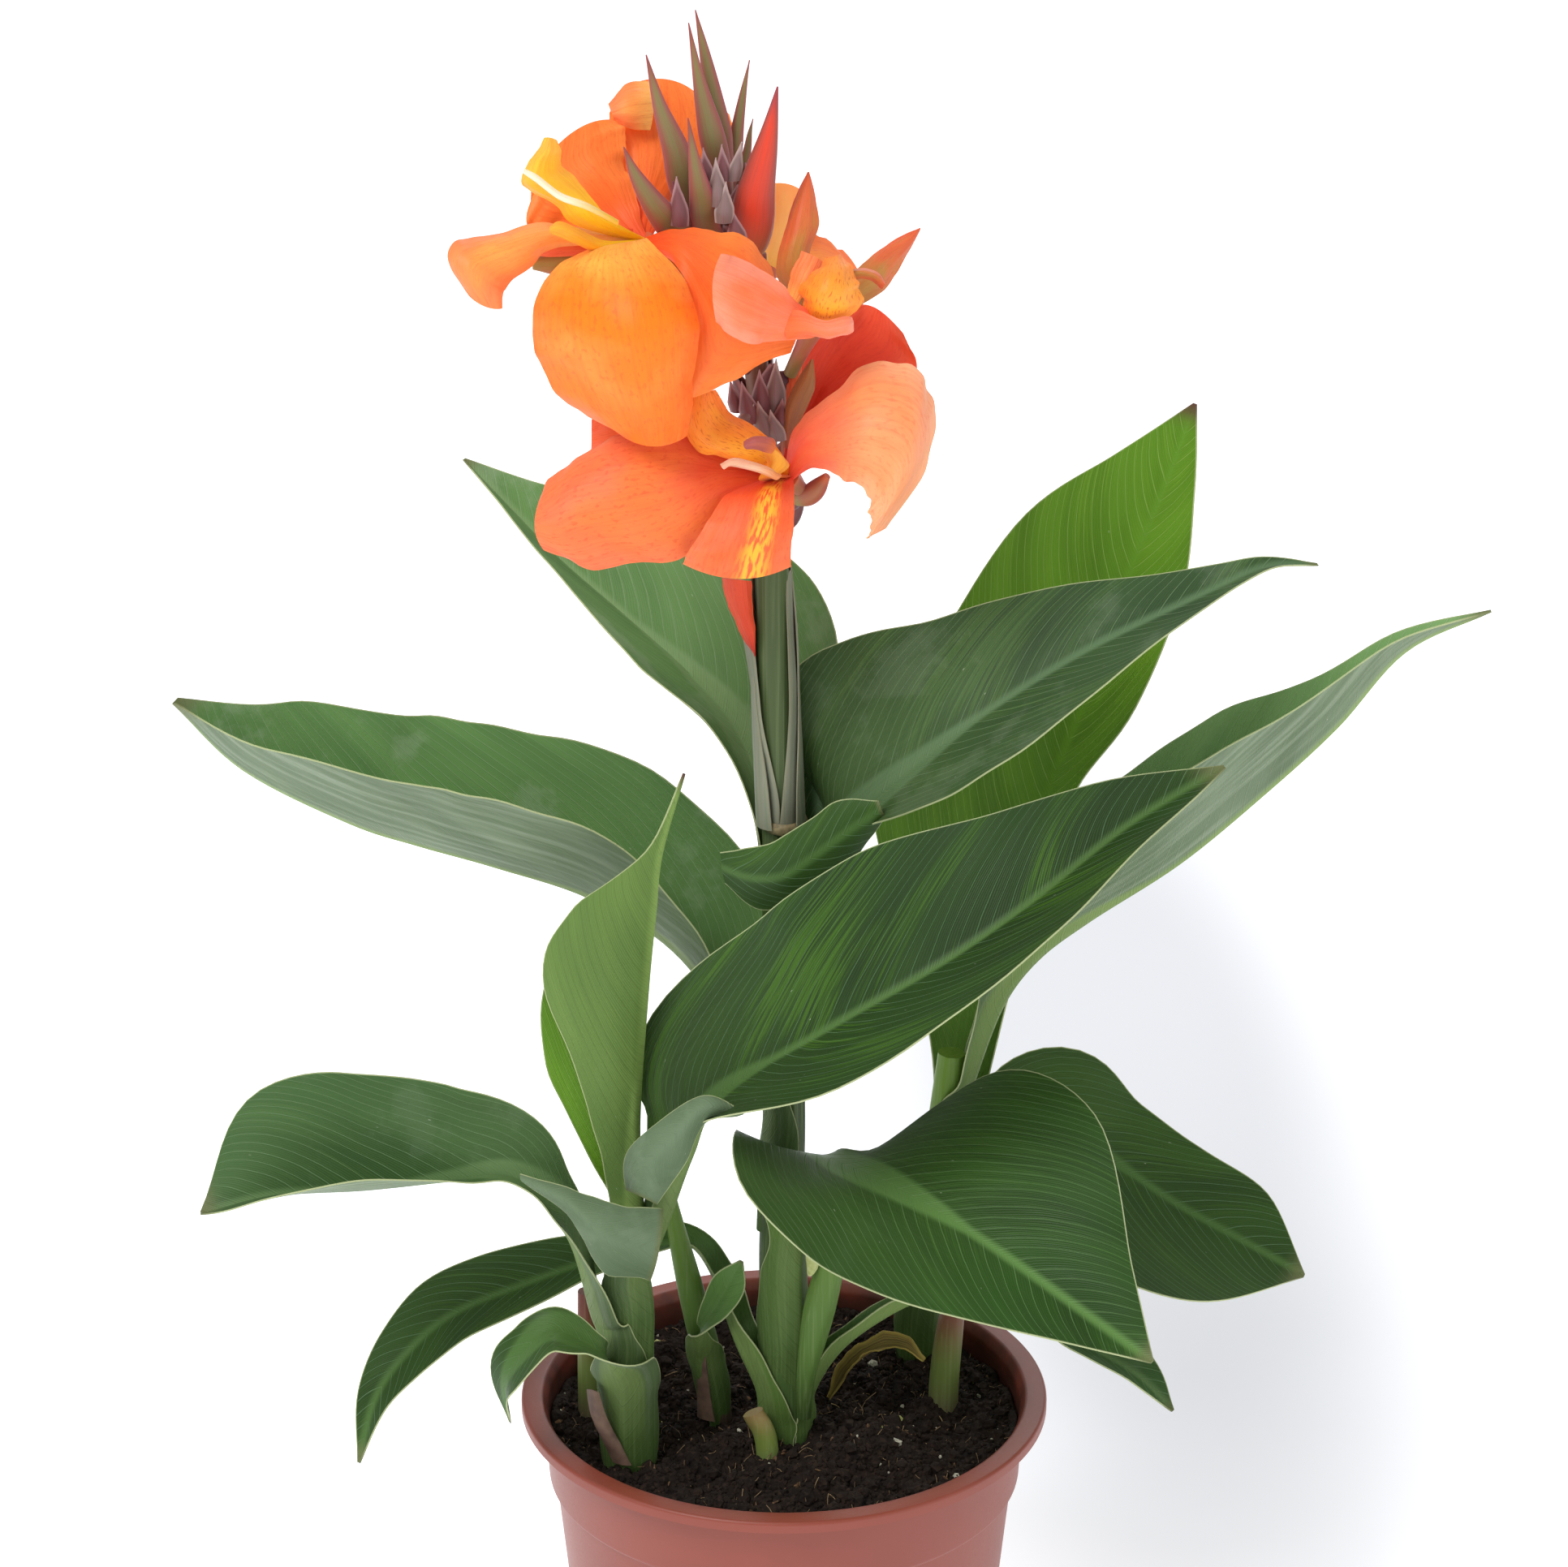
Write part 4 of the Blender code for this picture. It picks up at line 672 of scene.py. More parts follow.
def sheet(name, grid, thickness, looks, rib_thickness=0.0, feet=0, steps=1, fan=False):
    """A closed thin solid on a grid of points, its upper face in the first look and its lower one in the
    second. The veins map holds the (vein, distance from the midrib) of each point in millimetres, and the
    zones colour its share of base and of tip, its distance from the margin and, as alpha, how near the base
    it is.
    On a fan, the veins spread out from the base instead, and the base and tip colours reach further."""
    stations, columns = grid.shape[:2]
    half = columns // 2
    normals = unit(np.cross(np.gradient(grid, axis=0), np.gradient(grid, axis=1)))
    travelled = np.concatenate([[0], np.cumsum(np.linalg.norm(np.diff(grid[:, half], axis=0), axis=1))])
    steps_out = np.linalg.norm(np.diff(grid, axis=1), axis=2)
    across = np.concatenate([np.zeros((stations, 1)), np.cumsum(steps_out, axis=1)], axis=1)
    across = across - across[:, half:half + 1]
    widths = np.where(across < 0, -across[:, :1], across[:, -1:])
    far = np.abs(across)
    vein = travelled[:, None] - 1.1 * far - far ** 2 / np.maximum(widths, 14)
    depth = thickness + (rib_thickness - thickness if rib_thickness else 0) * \
        np.linspace(1, 0, stations)[:, None] * np.exp(-(far / 2.2) ** 2)
    under = grid + normals * depth[..., None]
    points = np.concatenate([grid.reshape(-1, 3), under.reshape(-1, 3)]) * MM
    below = stations * columns
    index = np.arange(below).reshape(stations, columns)
    a, b, c, d = index[:-1, :-1], index[:-1, 1:], index[1:, :-1], index[1:, 1:]
    top = np.stack([a, b, d, c], axis=-1).reshape(-1, 4)
    bottom = np.stack([a, c, d, b], axis=-1).reshape(-1, 4) + below
    rim = np.concatenate([index[:, 0], index[-1, 1:], index[-2::-1, -1], index[0, -2:0:-1]])
    after = np.roll(rim, -1)
    edge = np.stack([rim, after, after + below, rim + below], axis=-1)
    mesh = bpy.data.meshes.new(name)
    mesh.from_pydata(points.tolist(), [], np.concatenate([top, bottom, edge]).tolist())
    for look in looks:
        mesh.materials.append(look)
    slots = np.zeros(len(mesh.polygons), int)
    if len(looks) > 1:
        slots[len(top):len(top) + len(bottom)] = 1
    mesh.polygons.foreach_set("material_index", slots)
    if fan:
        vein, across = np.broadcast_arrays(travelled[:, None], 10 * across / np.maximum(widths, 0.3))
    drawn = np.stack([vein, across], axis=-1).reshape(-1, 2)
    share = np.linspace(0, 1, stations)
    base = np.clip(1.35 - np.arange(stations) / max(1, feet * steps), 0, 1) if feet else np.zeros(stations)
    tip = np.clip((share - 0.975) / 0.02, 0, 1)
    blade = np.clip(1 - (travelled - travelled[min(stations - 1, feet * steps)]) / 55, 0, 1) if feet else base
    if fan:
        base = np.clip(1.1 - 2.6 * share, 0, 1)
        tip = share
    zones = np.empty((stations, columns, 4))
    zones[..., 0] = base[:, None]
    zones[..., 1] = tip[:, None]
    zones[..., 2] = np.clip((widths - far) / 10, 0, 1)
    zones[..., 3] = blade[:, None]
    return mapped(name, mesh, np.tile(drawn, (2, 1)), np.tile(zones.reshape(-1, 4), (2, 1)))


def net(rows, look, frill=(1.2, 2, 0), name="petal", fan=True):
    """A petal or flap from rows of (left margin, middle, right margin), from its base to its tip. It bows
    through the middle points, and its margins are frilled. fan is for a petal, as in sheet."""
    rows = np.array(rows, float)
    stations = (len(rows) - 1) * NET_STEPS + 1
    lengthwise = smooth(rows.reshape(len(rows), 9), stations).reshape(stations, 1, 3, 3)
    u = np.linspace(-1, 1, 2 * NET_RIBS + 1)[None, :, None]
    grid = lengthwise[:, :, 0] * (u * u - u) / 2 + lengthwise[:, :, 1] * (1 - u * u) + \
        lengthwise[:, :, 2] * (u * u + u) / 2
    up = unit(np.cross(np.gradient(grid, axis=1), np.gradient(grid, axis=0)))
    height, waves, phase = frill
    travel = np.linspace(0, 1, stations)[:, None, None]
    wave = margin_wave(travel, np.sign(u), waves, phase, 0.2, 4.7)
    out = unit(grid[:, -1:] - grid[:, :1]) * np.sign(u)
    width = np.linalg.norm(grid[:, -1:] - grid[:, :1], axis=2, keepdims=True)
    hem = np.abs(u) ** 2.5 * np.clip(3 * travel, 0, 1) * np.clip(width / 16, 0.1, 1)
    grid = grid + height * hem * wave * (up + 0.5 * out)
    return sheet(name, grid, PETAL_THICKNESS, (look,), fan=fan)


def joined(name, parts):
    """Several pieces made one object."""
    with bpy.context.temp_override(active_object=parts[0], selected_editable_objects=parts):
        bpy.ops.object.join()
    parts[0].name = name
    return parts[0]


def clasp(shoot, height, azimuth, wrap=2.2, off=0.0):
    """A station of a leaf base that lies round its shoot: (place, half width, curl in degrees, facing)."""
    rows = np.array(shoot, float)
    centre = np.array([np.interp(height, rows[:, 2], column) for column in rows.T])
    away = np.array([math.cos(math.radians(azimuth)), math.sin(math.radians(azimuth)), 0])
    reach = centre[3] + SHEATH_GAP + off
    return centre[:3] + away * reach, wrap * reach, math.degrees(wrap), -away


def leaf(name, shoot, feet, midrib, left, right, fold, curl, faces, looks, frill=(0.8, 3, 0), extras=()):
    """A leaf whose sheath comes out of the skin of its shoot, clasps it at the feet, each a (height, azimuth,
    wrap, distance), and then leans out along its midrib. extras are flaps and strands of its base."""
    count = len(midrib)
    foot = [clasp(shoot, *row) for row in feet]
    if feet:
        height, azimuth, wrap, off = feet[0]
        foot = [clasp(shoot, height - drop, azimuth, wrap, off * share - 1.3 * (1 - share))
                for drop, share in ((30, 0), (18, 0.35), (8, 0.9))] + foot
    line = [place for place, _, _, _ in foot] + [np.array(p, float) for p in midrib]
    half = [width for _, width, _, _ in foot]
    bend = [turn for _, _, turn, _ in foot]
    level = [0.0] * len(foot)
    aims = [look for _, _, _, look in foot] + list(spread(faces, count))

    def with_foot(values, start):
        """Values of the foot, then those given along the blade."""
        return start + list(spread(values, count)[:, 0])

    grid = blade_grid(line, with_foot(left, half), with_foot(right, half),
                      [with_foot(values, level) for values in fold],
                      [with_foot(values, bend) for values in curl], aims, LEAF_STEPS, LEAF_RIBS, frill)
    made = sheet(name + "_blade", grid, LEAF_THICKNESS, looks, MIDRIB_THICKNESS, len(foot) + 1, LEAF_STEPS)
    return dress(joined(name + "_blade", [made, *extras]), [name])


# Waxy leaf skin: the upper face in eight finishes and the lower face in five. Some are copies of one skin,
# painted lighter for a lit face and darker for faces in shade, and haze sets pale patches of painted sheen.
dark_top = leaf_finish("mature_leaf_top", "264012", "304E18", "587650", "4A6E20", 0.3, "507238")
streaked_top = leaf_finish("streaked_leaf_top", "1F3610", "274214", "52704C", "4A741C", 0.6, "56783E")
fresh_top = leaf_finish("fresh_leaf_top", "203C0E", "294C14", "587A46", "467026", 0.3, "668E4A")
# Partly the leaf's own grey-green and partly painted sheen: a lighter, greyer copy of the upper face, with
# pale patches of painted sheen.
grey_sheened_top = leaf_finish("grey_sheened_leaf_top", "2A4422", "38542C", "66805A", "557638", 0.45, "62805A",
                        roughness=0.46, haze=0.08)
soft_top = leaf_finish("waxy_leaf_top", "355229", "446434", "6A885E", "5A7A40", 0.25, "6A8856", "526E38",
                       roughness=0.46, haze=0.06)
pale_top = leaf_finish("downy_leaf_top", "527A42", "648E4E", "84A474", "6A8C4E", 0.25, "7E9E6A",
                       roughness=0.5, haze=0.22)
# Partly the young leaf's own yellow-green and partly a painted glow of light shining through the leaf.
lit_top = leaf_finish("young_backlit_leaf_top", "4A740E", "5C8A1A", "82A64A", "74A02A", 0.4, "5C8A20", roughness=0.45,
                      tip="5A3A30")
sunlit_top = leaf_finish("sunlit_leaf_top", "70985A", "80A868", "9AB884", "7A9C5A", 0.25, "8AA870",
                         roughness=0.48)
grey_under = leaf_finish("waxy_leaf_underside", "5C6F52", "708266", "8C9A7E", "708A58", 0.2, "8CA45C",
                         roughness=0.52, silk=0.28, majors=0.25)
ear_under = leaf_finish("rolled_leaf_underside", "54694A", "64785A", "7C8C6E", "64785A", 0.1, "64785A",
                        roughness=0.5, haze=0.1, majors=0.3)
green_under = leaf_finish("smooth_leaf_underside", "5A7E30", "6A8E3C", "85A45C", "769A40", 0.2, "94AC68",
                          roughness=0.5)
furled_under = leaf_finish("furled_leaf_underside", "587436", "688440", "7E9A56", "7C9848", 0.2, "86A256",
                           "849850", roughness=0.5, majors=0.08, tip="5A3A30")
# Painted shade: a darker copy of the underside for faces in shade.
shaded_under = leaf_finish("shaded_leaf_underside", "3A4E2C", "48603A", "60764E", "546E3C", 0.2, "6E825A",
                         roughness=0.52)
husk_finish = flat_finish("dry_leaf_base", "5C463C", "7C6252", 6.0, 0.7)
ligule_finish = flat_finish("pale_leaf_collar", "9AA45C", "C2C68A", 3.0, 0.55)

ear = net((((-13, -74, 293), (-13.5, -74, 292.5), (-14, -74, 292)),
           ((-26.5, -73, 298.5), (-26, -75, 295.5), (-26.5, -71, 288)),
           ((-42, -65, 285), (-36.5, -71, 283), (-32.5, -67, 272.5)),
           ((-53, -54, 268.5), (-45.5, -64, 270), (-38, -60, 260.5)),
           ((-54, -44, 250.5), (-48, -54, 252.5), (-43.5, -50, 248))), ear_under, (0.4, 1, 0.3), "ear", False)
leaf("leaf_front", LEFT_SHOOT, ((205, -30, 2.2, 0), (215, -30, 1.8, 0)),
     ((-41, -39, 236), (-32, -45, 264), (-21, -52, 290), (15, -71, 322), (51, -77, 347), (80, -73, 367),
      (112, -58, 388), (145, -44, 404)),
     (10, 22, 40, 45, 45, 34, 18, 0.6), (8, 11, 20, 34, 36, 30, 16, 0.6),
     ((20, 10, 5, 10, 8, 8, 8, 8), (30, 40, 28, 36, 45, 48, 40, 30)),
     ((60, 40, 20, 10, 10, 10, 10, 10), (90, 90, 40, 0, 0, 0, 10, 10)),
     ((-0.8, 0, 0.5), (-0.4, -0.6, 0.6), (-0.2, -0.75, 0.6), (-0.2, -0.75, 0.6), (-0.2, -0.8, 0.55)),
     (streaked_top, grey_under), (1.2, 3, 0.1), (ear,))
thin_stalk = grown(centre_line("line_strand",
                               smooth(((7, -25, 152, 2.6), (8, -26, 170, 3.4), (12, -25, 192.5, 5.4),
                                       (16, -25, 211.5, 5), (18, -28, 231.5, 4.6)), 40)), shooting,
                   "strand", {"Sides": 40, "Ribs": 6.0, "Rib depth": 0.03, "Finish": young_finish})
ligule = net((((7.5, -29, 224.5), (10, -31, 226), (13, -30, 224)),
              ((8, -29, 217.5), (10, -31, 218.5), (13, -30, 219)),
              ((8.5, -28, 210.5), (9.5, -29, 210), (11.5, -29, 213))), ligule_finish, (0.2, 2, 0), "ligule")
leaf("leaf_front_right", MAIN_STEM, ((184, -50, 2.2, 0.3), (206, -50, 1.8, 0.3), (226, -50, 1.2, 3)),
     ((10, -33, 257), (22, -54, 264), (42, -72, 262), (68, -98, 256), (98, -128, 246), (117, -148, 240)),
     (7, 14, 52, 56, 22, 0.6), (28, 44, 40, 33, 14, 0.6),
     ((0, 5, 8, 8, 8, 8), (0, 0, 0, 0, 0, 0)), ((40, 20, 10, 10, 10, 10), (20, 10, 10, 10, 10, 10)),
     ((0.25, 0.2, 1), (0.1, -0.2, 1), (-0.17, -0.44, 0.8), (-0.17, -0.44, 0.8), (-0.1, -0.45, 0.8),
      (-0.1, -0.45, 0.8)), (fresh_top, green_under), (1.0, 2.5, 0.4), (thin_stalk, ligule))
leaf("leaf_left_long", MAIN_STEM, ((250, 175, 2.2, 0.4), (270, 175, 1.8, 0.4)),
     ((-18, -8, 296), (-38, -2, 322), (-67, 2, 340), (-99, -2, 353), (-125, -5, 362), (-148, -10, 372),
      (-182, -16, 393), (-204, -20, 418)),
     (12, 24, 38, 42, 42, 38, 27, 2.5), (16, 40, 50, 48, 44, 40, 28, 2.5),
     ((30, 50, 58, 58, 50), (20, 50, 58, 58, 50)), ((50, 20, 5, 5), (50, 20, 5, 5)),
     ((0.5, -0.2, 0.9), (0, -0.24, 0.97), (0, -0.24, 0.97)), (pale_top, grey_under), (1.0, 3, 0.7))
flap = net((((-89, -60, 264), (-89, -61, 262.5), (-88.5, -60, 261)),
            ((-73, -61, 259), (-73, -64, 255), (-72, -60, 246.5)),
            ((-56.5, -58, 252), (-59.5, -64, 241.5), (-61.5, -57, 226)),
            ((-41.5, -50, 245.5), (-42.5, -57, 234), (-46, -50, 218))), ear_under, (0.5, 1.3, 0.2), "flap",
           False)
leaf("leaf_left_low", LEFT_SHOOT, ((181, 195, 2.2, 0), (190, 195, 1.8, 0), (199, 195, 1.1, 3)),
     ((-72, -42, 228), (-80, -48, 248), (-94, -53, 260), (-112, -58, 261), (-141, -64, 260), (-171, -68, 260),
      (-196, -70, 254)),
     (9, 7, 5, 12, 24, 22, 0.6), (10, 12, 22, 33, 40, 36, 0.6),
     ((-10, -20, 20, 40, 50, 40, 30), (20, 40, 50, 55, 55, 50, 30)),
     ((60, 40, 10, 5, 5, 5, 5), (20, 10, 5, 5, 5, 5, 5)),
     ((0.5, -0.2, 0.8), (0.2, -0.3, 0.9), (0, -0.34, 0.94), (0, -0.34, 0.94)), (soft_top, grey_under),
     (1.0, 2.5, 0.3), (flap,))
leaf("leaf_right_long", BACK_SHOOT, ((224, -15, 2.2, 0.2), (240, -15, 1.8, 0.2), (254, -15, 1.1, 3)),
     ((78, 39, 284), (90, 34, 304), (108, 29, 321), (138, 20, 346), (165, 10, 375), (188, 2, 402),
      (209, -4, 431), (236, -10, 447)),
     (10, 22, 34, 38, 34, 20, 8, 0.6), (10, 22, 32, 38, 34, 22, 8, 0.6),
     ((30, 50, 52, 52, 50), (30, 50, 52, 52, 50)), ((50, 10, 5, 5), (50, 10, 5, 5)),
     ((-0.4, 0, 1), (0, -0.1, 1), (0, -0.1, 1)), (sunlit_top, grey_under), (1.0, 3, 0.2))
collar = net((((-21.5, -26, 367), (-21, -26, 361.5), (-20, -24, 355)),
              ((-14, -28, 369), (-11.5, -29, 359), (-8.5, -25, 345.5)),
              ((-4.5, -33, 373), (-0.5, -35, 362), (5, -31, 350.5)),
              ((6.5, -35, 381), (10.5, -38, 370.5), (16, -34, 359)),
              ((17.5, -36, 389), (21.5, -39, 379.5), (25.5, -35, 369.5)),
              ((31.5, -37, 389.5), (32.5, -38, 386.5), (34, -36, 383.5))), dark_top, (0.4, 1.5, 0.1),
             "collar", False)
inner_lobe = net((((5.5, 0, 414), (10, -1, 419), (18, -2, 424)),
                  ((5, 0, 401.5), (10, -1, 403), (21, -3, 405)),
                  ((6, 0, 384), (11, -2, 387), (24, -5, 390)),
                  ((6.5, -4, 370), (12, -6, 372), (25, -9, 376)),
                  ((7, -6, 358), (14, -8, 360), (26, -12, 364))), grey_sheened_top, (0, 2, 0), "inner_lobe", False)
leaf("leaf_right_upper", MAIN_STEM, ((306, -20, 2.2, 0), (324, -20, 1.8, 0), (338, -25, 1.4, 2.5)),
     ((14, -19, 358), (25, -24, 380), (46, -27, 400), (68, -28, 418), (100, -25, 438), (138, -18, 455),
      (160, -12, 463), (178, -6, 462)),
     (16, 50, 50, 38, 26, 11, 4, 0.6), (6, 11, 26, 33, 26, 10, 4, 0.6),
     ((0, 5, 10, 10, 10, 10, 10, 10), (0, 15, 25, 25, 25, 30, 40, 50)),
     ((50, 30, 10, 5, 5, 5, 5, 5), (100, 40, 10, 5, 5, 5, 5, 5)),
     ((-0.9, 0.2, 0.3), (-0.4, -0.6, 0.65), (-0.25, -0.65, 0.7), (-0.2, -0.6, 0.75), (-0.2, -0.6, 0.75),
      (-0.2, -0.6, 0.75), (-0.2, -0.6, 0.75), (-0.2, -0.6, 0.75)), (grey_sheened_top, shaded_under), (1.4, 3, 0.55),
     (collar, inner_lobe))
leaf("leaf_back_left", MAIN_STEM, ((344, 110, 2.2, 0), (357, 110, 1.7, 0)),
     ((-8, 8, 378), (-18, 28, 395), (-34, 46, 408), (-56, 60, 424), (-79, 72, 441), (-97, 82, 457),
      (-114, 90, 473)),
     (12, 26, 35, 33, 23, 10, 0.6), (14, 46, 54, 47, 32, 14, 0.6),
     ((20, 50, 60, 60), (10, 10, 5, 5)), ((50, 10, 5, 5), (50, 10, 5, 5)),
     ((0.3, -0.8, 0.3), (0, -0.7, 0.7), (0, -0.7, 0.7)), (pale_top, green_under), (1.0, 3, 0.85))
leaf("leaf_back_upright", BACK_SHOOT, ((184, 60, 2.2, 0), (202, 60, 1.8, 0)),
     ((68, 64, 240), (76, 64, 290), (86, 62, 330), (97, 62, 364), (110, 63, 398), (123, 66, 440),
      (135, 70, 471), (144, 75, 497)),
     (14, 30, 56, 60, 56, 44, 22, 0.6), (10, 12, 12, 12, 22, 24, 12, 0.6),
     ((10, 10, 10), (10, 30, 20)), ((60, 10, 5, 5, 5), (60, 10, 5, 5, 5)),
     ((-0.3, -0.95, 0.1),), (lit_top, green_under), (1.0, 3, 0.15))
leaf("leaf_furled", LEFT_SHOOT, (),
     ((-50.5, -33, 219), (-50.5, -33, 238), (-51, -35, 262), (-49.5, -37, 290), (-46.5, -39, 326),
      (-43.5, -40, 352), (-41, -40, 372), (-33, -40, 400)),
     (12, 12, 20, 32, 33, 17, 4, 0.6), (12, 12, 13, 22, 36, 27, 6, 0.6),
     ((0, 0, 60, 75, 75, 75, 75, 60), (0, 0, 40, 55, 60, 60, 60, 60)),
     ((150, 150, 40, 20, 20, 20, 10, 0), (150, 150, 60, 50, 50, 40, 20, 0)),
     ((-1, 0, 0),), (lit_top, furled_under), (0.5, 2, 0.5))
leaf("leaf_right_low", BACK_SHOOT, ((154, -60, 2.2, 0.3), (168, -60, 1.8, 0.3), (180, -60, 1.1, 3)),
     ((68, 31, 210), (80, 30, 232), (97, 30, 239), (118, 28, 228), (142, 22, 213), (166, 16, 201),
      (188, 10, 190)),
     (8, 21, 30, 23, 22, 20, 0.6), (8, 24, 38, 48, 50, 36, 0.6),
     ((20, 20, 20), (20, 10, 10)), ((40, 10, 10), (40, 10, 10)),
     ((-0.6, 0.5, 0.5), (-0.2, -0.2, 0.9), (0.1, -0.5, 0.85), (0.1, -0.5, 0.85), (0.1, -0.5, 0.85),
      (0.1, -0.5, 0.85), (0.1, -0.5, 0.85)), (dark_top, shaded_under), (1.2, 2.5, 0.65))
leaf("leaf_low_right", MAIN_STEM, ((148, 6, 1.3, 0), (158, 4, 1.1, 0.6)),
     ((22, -14, 176), (45, -12, 191), (62, -14, 195), (84, -18, 191), (105, -26, 182), (124, -37, 175),
      (136, -46, 166)),
     (5, 6, 10, 16, 16, 9, 0.6), (5, 6, 10, 14, 16, 9, 0.6),
     ((40, 40, 25, 20), (40, 40, 25, 20)), ((30, 10, 10), (30, 10, 10)),
     ((-0.7, 0, 0.7), (0, -0.2, 1), (0, -0.2, 1)), (soft_top, green_under), (0.8, 3, 0.35))
leaf("leaf_low_left", MAIN_STEM, ((148, 200, 1.5, 0.2), (160, 195, 1.1, 1)),
     ((-17, -13, 178), (-24, 4, 192), (-34, 15, 201), (-50, 10, 203), (-68, 3, 200), (-92, -2, 193),
      (-118, -8, 184), (-135, -14, 171), (-146, -20, 156), (-152, -26, 134)),
     (8, 7, 7, 9, 10, 14, 16, 13, 8, 0.6), (8, 7, 7, 8, 10, 14, 16, 12, 7, 0.6),
     ((40, 20, 15), (40, 20, 15)), ((30, 10, 10), (30, 10, 10)),
     ((0.6, 0, 0.8), (0.3, -0.5, 0.85), (0, -0.5, 0.85), (0, -0.5, 0.8), (-0.5, -0.6, 0.4)),
     (dark_top, green_under), (0.8, 3, 0.9))
husk = net((((-69, -36, 169), (-67, -40, 171), (-65, -41, 170.5)),
            ((-68, -38, 161.5), (-65.5, -43, 163), (-62.5, -43, 162)),
            ((-64.5, -40, 153), (-61, -44, 153), (-57.5, -43, 150.5)),
            ((-60, -41, 143), (-57, -43, 143), (-54, -42, 142))), husk_finish, (0.3, 2, 0), "husk")
leaf("leaf_curled", LEFT_SHOOT, ((153, 262, 2.2, 0.4), (164, 262, 1.8, 0.4), (175, 262, 1.2, 3)),
     ((-62, -51, 190), (-71, -53, 198), (-80, -54, 202), (-88, -56, 197), (-96, -57, 184), (-95, -58, 168)),
     (12, 13, 13, 13, 12, 0.6), (6, 7, 8, 9, 10, 0.6),
     ((10, 10, 10), (10, 10, 10)), ((50, 10, 10), (30, 10, 10)),
     ((0.3, -0.2, 0.9), (0, -0.3, 0.9), (-0.3, -0.4, 0.8), (-0.7, -0.5, 0.5), (-0.9, -0.4, 0),
      (-0.9, -0.3, 0)),
     (dark_top, grey_under), (0.7, 2.5, 0.25), (husk,))
membrane = net((((-30, -4, 166), (-29, -5, 168), (-28, -6, 166)),
                ((-31, -4, 155.5), (-29.5, -6, 157), (-27, -7.5, 155.5)),
                ((-31, -4, 140.5), (-29, -7, 141), (-25, -8, 140.5))), husk_finish, (0.3, 2, 0), "membrane")
leaf("leaf_spoon", FRONT_SHOOT, ((158, 250, 2.2, 0.3), (166, 255, 1.4, 0.8)),
     ((-30, -12, 178), (-24, -14, 190), (-19, -16, 201), (-15, -16, 209)),
     (3.4, 5.6, 6.2, 0.6), (3.4, 5.6, 6.2, 0.6),
     ((20, 15, 10), (20, 15, 10)), ((20, 10, 10), (20, 10, 10)),
     ((0, -0.2, 1), (0, -0.9, 0.4), (0, -0.9, 0.4)), (fresh_top, green_under), (0.4, 2, 0.5), (membrane,))

# Sheaths
# Thin dry pieces: the papery sheath that stands round the flower stalk, a red petal caught behind it, and a
# withered yellow leaf that lies on the peat.


def dry_finish(name, base, stripe, edge, roughness=0.6):
    """A dry papery skin with lengthwise stripes about 1 mm apart and a thin paler edge."""
    material, tree, shader = new_finish(name, {"Roughness": roughness, "Subsurface Weight": 0.1,
                                               "Subsurface Scale": 0.001})
    drawn, _, zone = blade_maps(tree)
    threads = clouded(tree, drawn, (0.02, 1.0, 1), 3)
    thread = ramped(tree, threads, 0.35, 0.68)
    striped = mixed(tree, thread, base, stripe)
    rim = ramped(tree, zone["Blue"], 0.04, 0.16, 0.9, 0.0, soft=True)
    rimmed = mixed(tree, rim, striped, edge)
    tree.links.new(rimmed, shader.inputs["Base Color"])
    bumped(tree, shader, threads, 0.5, 0.0003)
    return material


def petal_finish(name, heart, body, edge, vein, fleck, flecks=0.3, patches=0.0):
    """One colour of petal. heart is its colour near the throat, body in the middle, edge towards the tip and
    the margins, vein that of the fine lines that fan out from the base, and fleck that of its small dashes.
    flecks and patches say how strong the dashes and the yellow streaks along the middle are."""
    material, tree, shader = new_finish(name, {"Roughness": 0.5, "Specular IOR Level": 0.3,
                                               "Subsurface Weight": 0.15, "Subsurface Scale": 0.002,
                                               "Subsurface Radius": (1.0, 0.3, 0.1), "Sheen Weight": 0.08,
                                               "Sheen Roughness": 0.4})
    drawn, _, zone = blade_maps(tree)
    cloud = clouded(tree, drawn, (0.045, 0.11, 1), 4)
    stray = reckoned(tree, "MULTIPLY_ADD", cloud, 2.2, -1.1)
    margin = reckoned(tree, "MULTIPLY_ADD", zone["Blue"], -0.55, stray)
    blur = reckoned(tree, "MULTIPLY_ADD", zone["Green"], 0.9, margin)
    outer = ramped(tree, blur, -0.4, 0.75, soft=True)
    warm = mixed(tree, outer, body, edge)
    throat = reckoned(tree, "MULTIPLY_ADD", stray, 0.55, zone["Red"], clamp=True)
    whole = mixed(tree, throat, warm, heart)
    ray = clouded(tree, drawn, (0.03, 1.9, 1), 3)
    line = ramped(tree, ray, 0.46, 0.7, 0.0, 0.32)
    veined = mixed(tree, line, whole, vein)
    dash = clouded(tree, drawn, (0.4, 2.0, 1), 1)
    dot = ramped(tree, dash, 0.57, 0.7, 0.0, flecks)
    last = mixed(tree, dot, veined, fleck)
    if patches:
        axes = add(tree, "ShaderNodeSeparateXYZ", (), {"Vector": drawn})
        off = reckoned(tree, "SUBTRACT", axes.outputs["Y"], 2.5)
        far = reckoned(tree, "ABSOLUTE", off)
        middle = ramped(tree, far, 0.8, 4.2, patches, 0.0, soft=True)
        blot = clouded(tree, drawn, (0.2, 1.5, 1), 5)
        spot = ramped(tree, blot, 0.42, 0.54)
        both = reckoned(tree, "MULTIPLY", spot, middle)
        last = mixed(tree, both, last, "FFB838")
    tree.links.new(last, shader.inputs["Base Color"])
    fold = clouded(tree, drawn, (0.028, 0.2, 1), 2)
    relief = reckoned(tree, "MULTIPLY_ADD", ray, 0.1, fold)
    bumped(tree, shader, relief, 0.55, 0.0022)
    return material


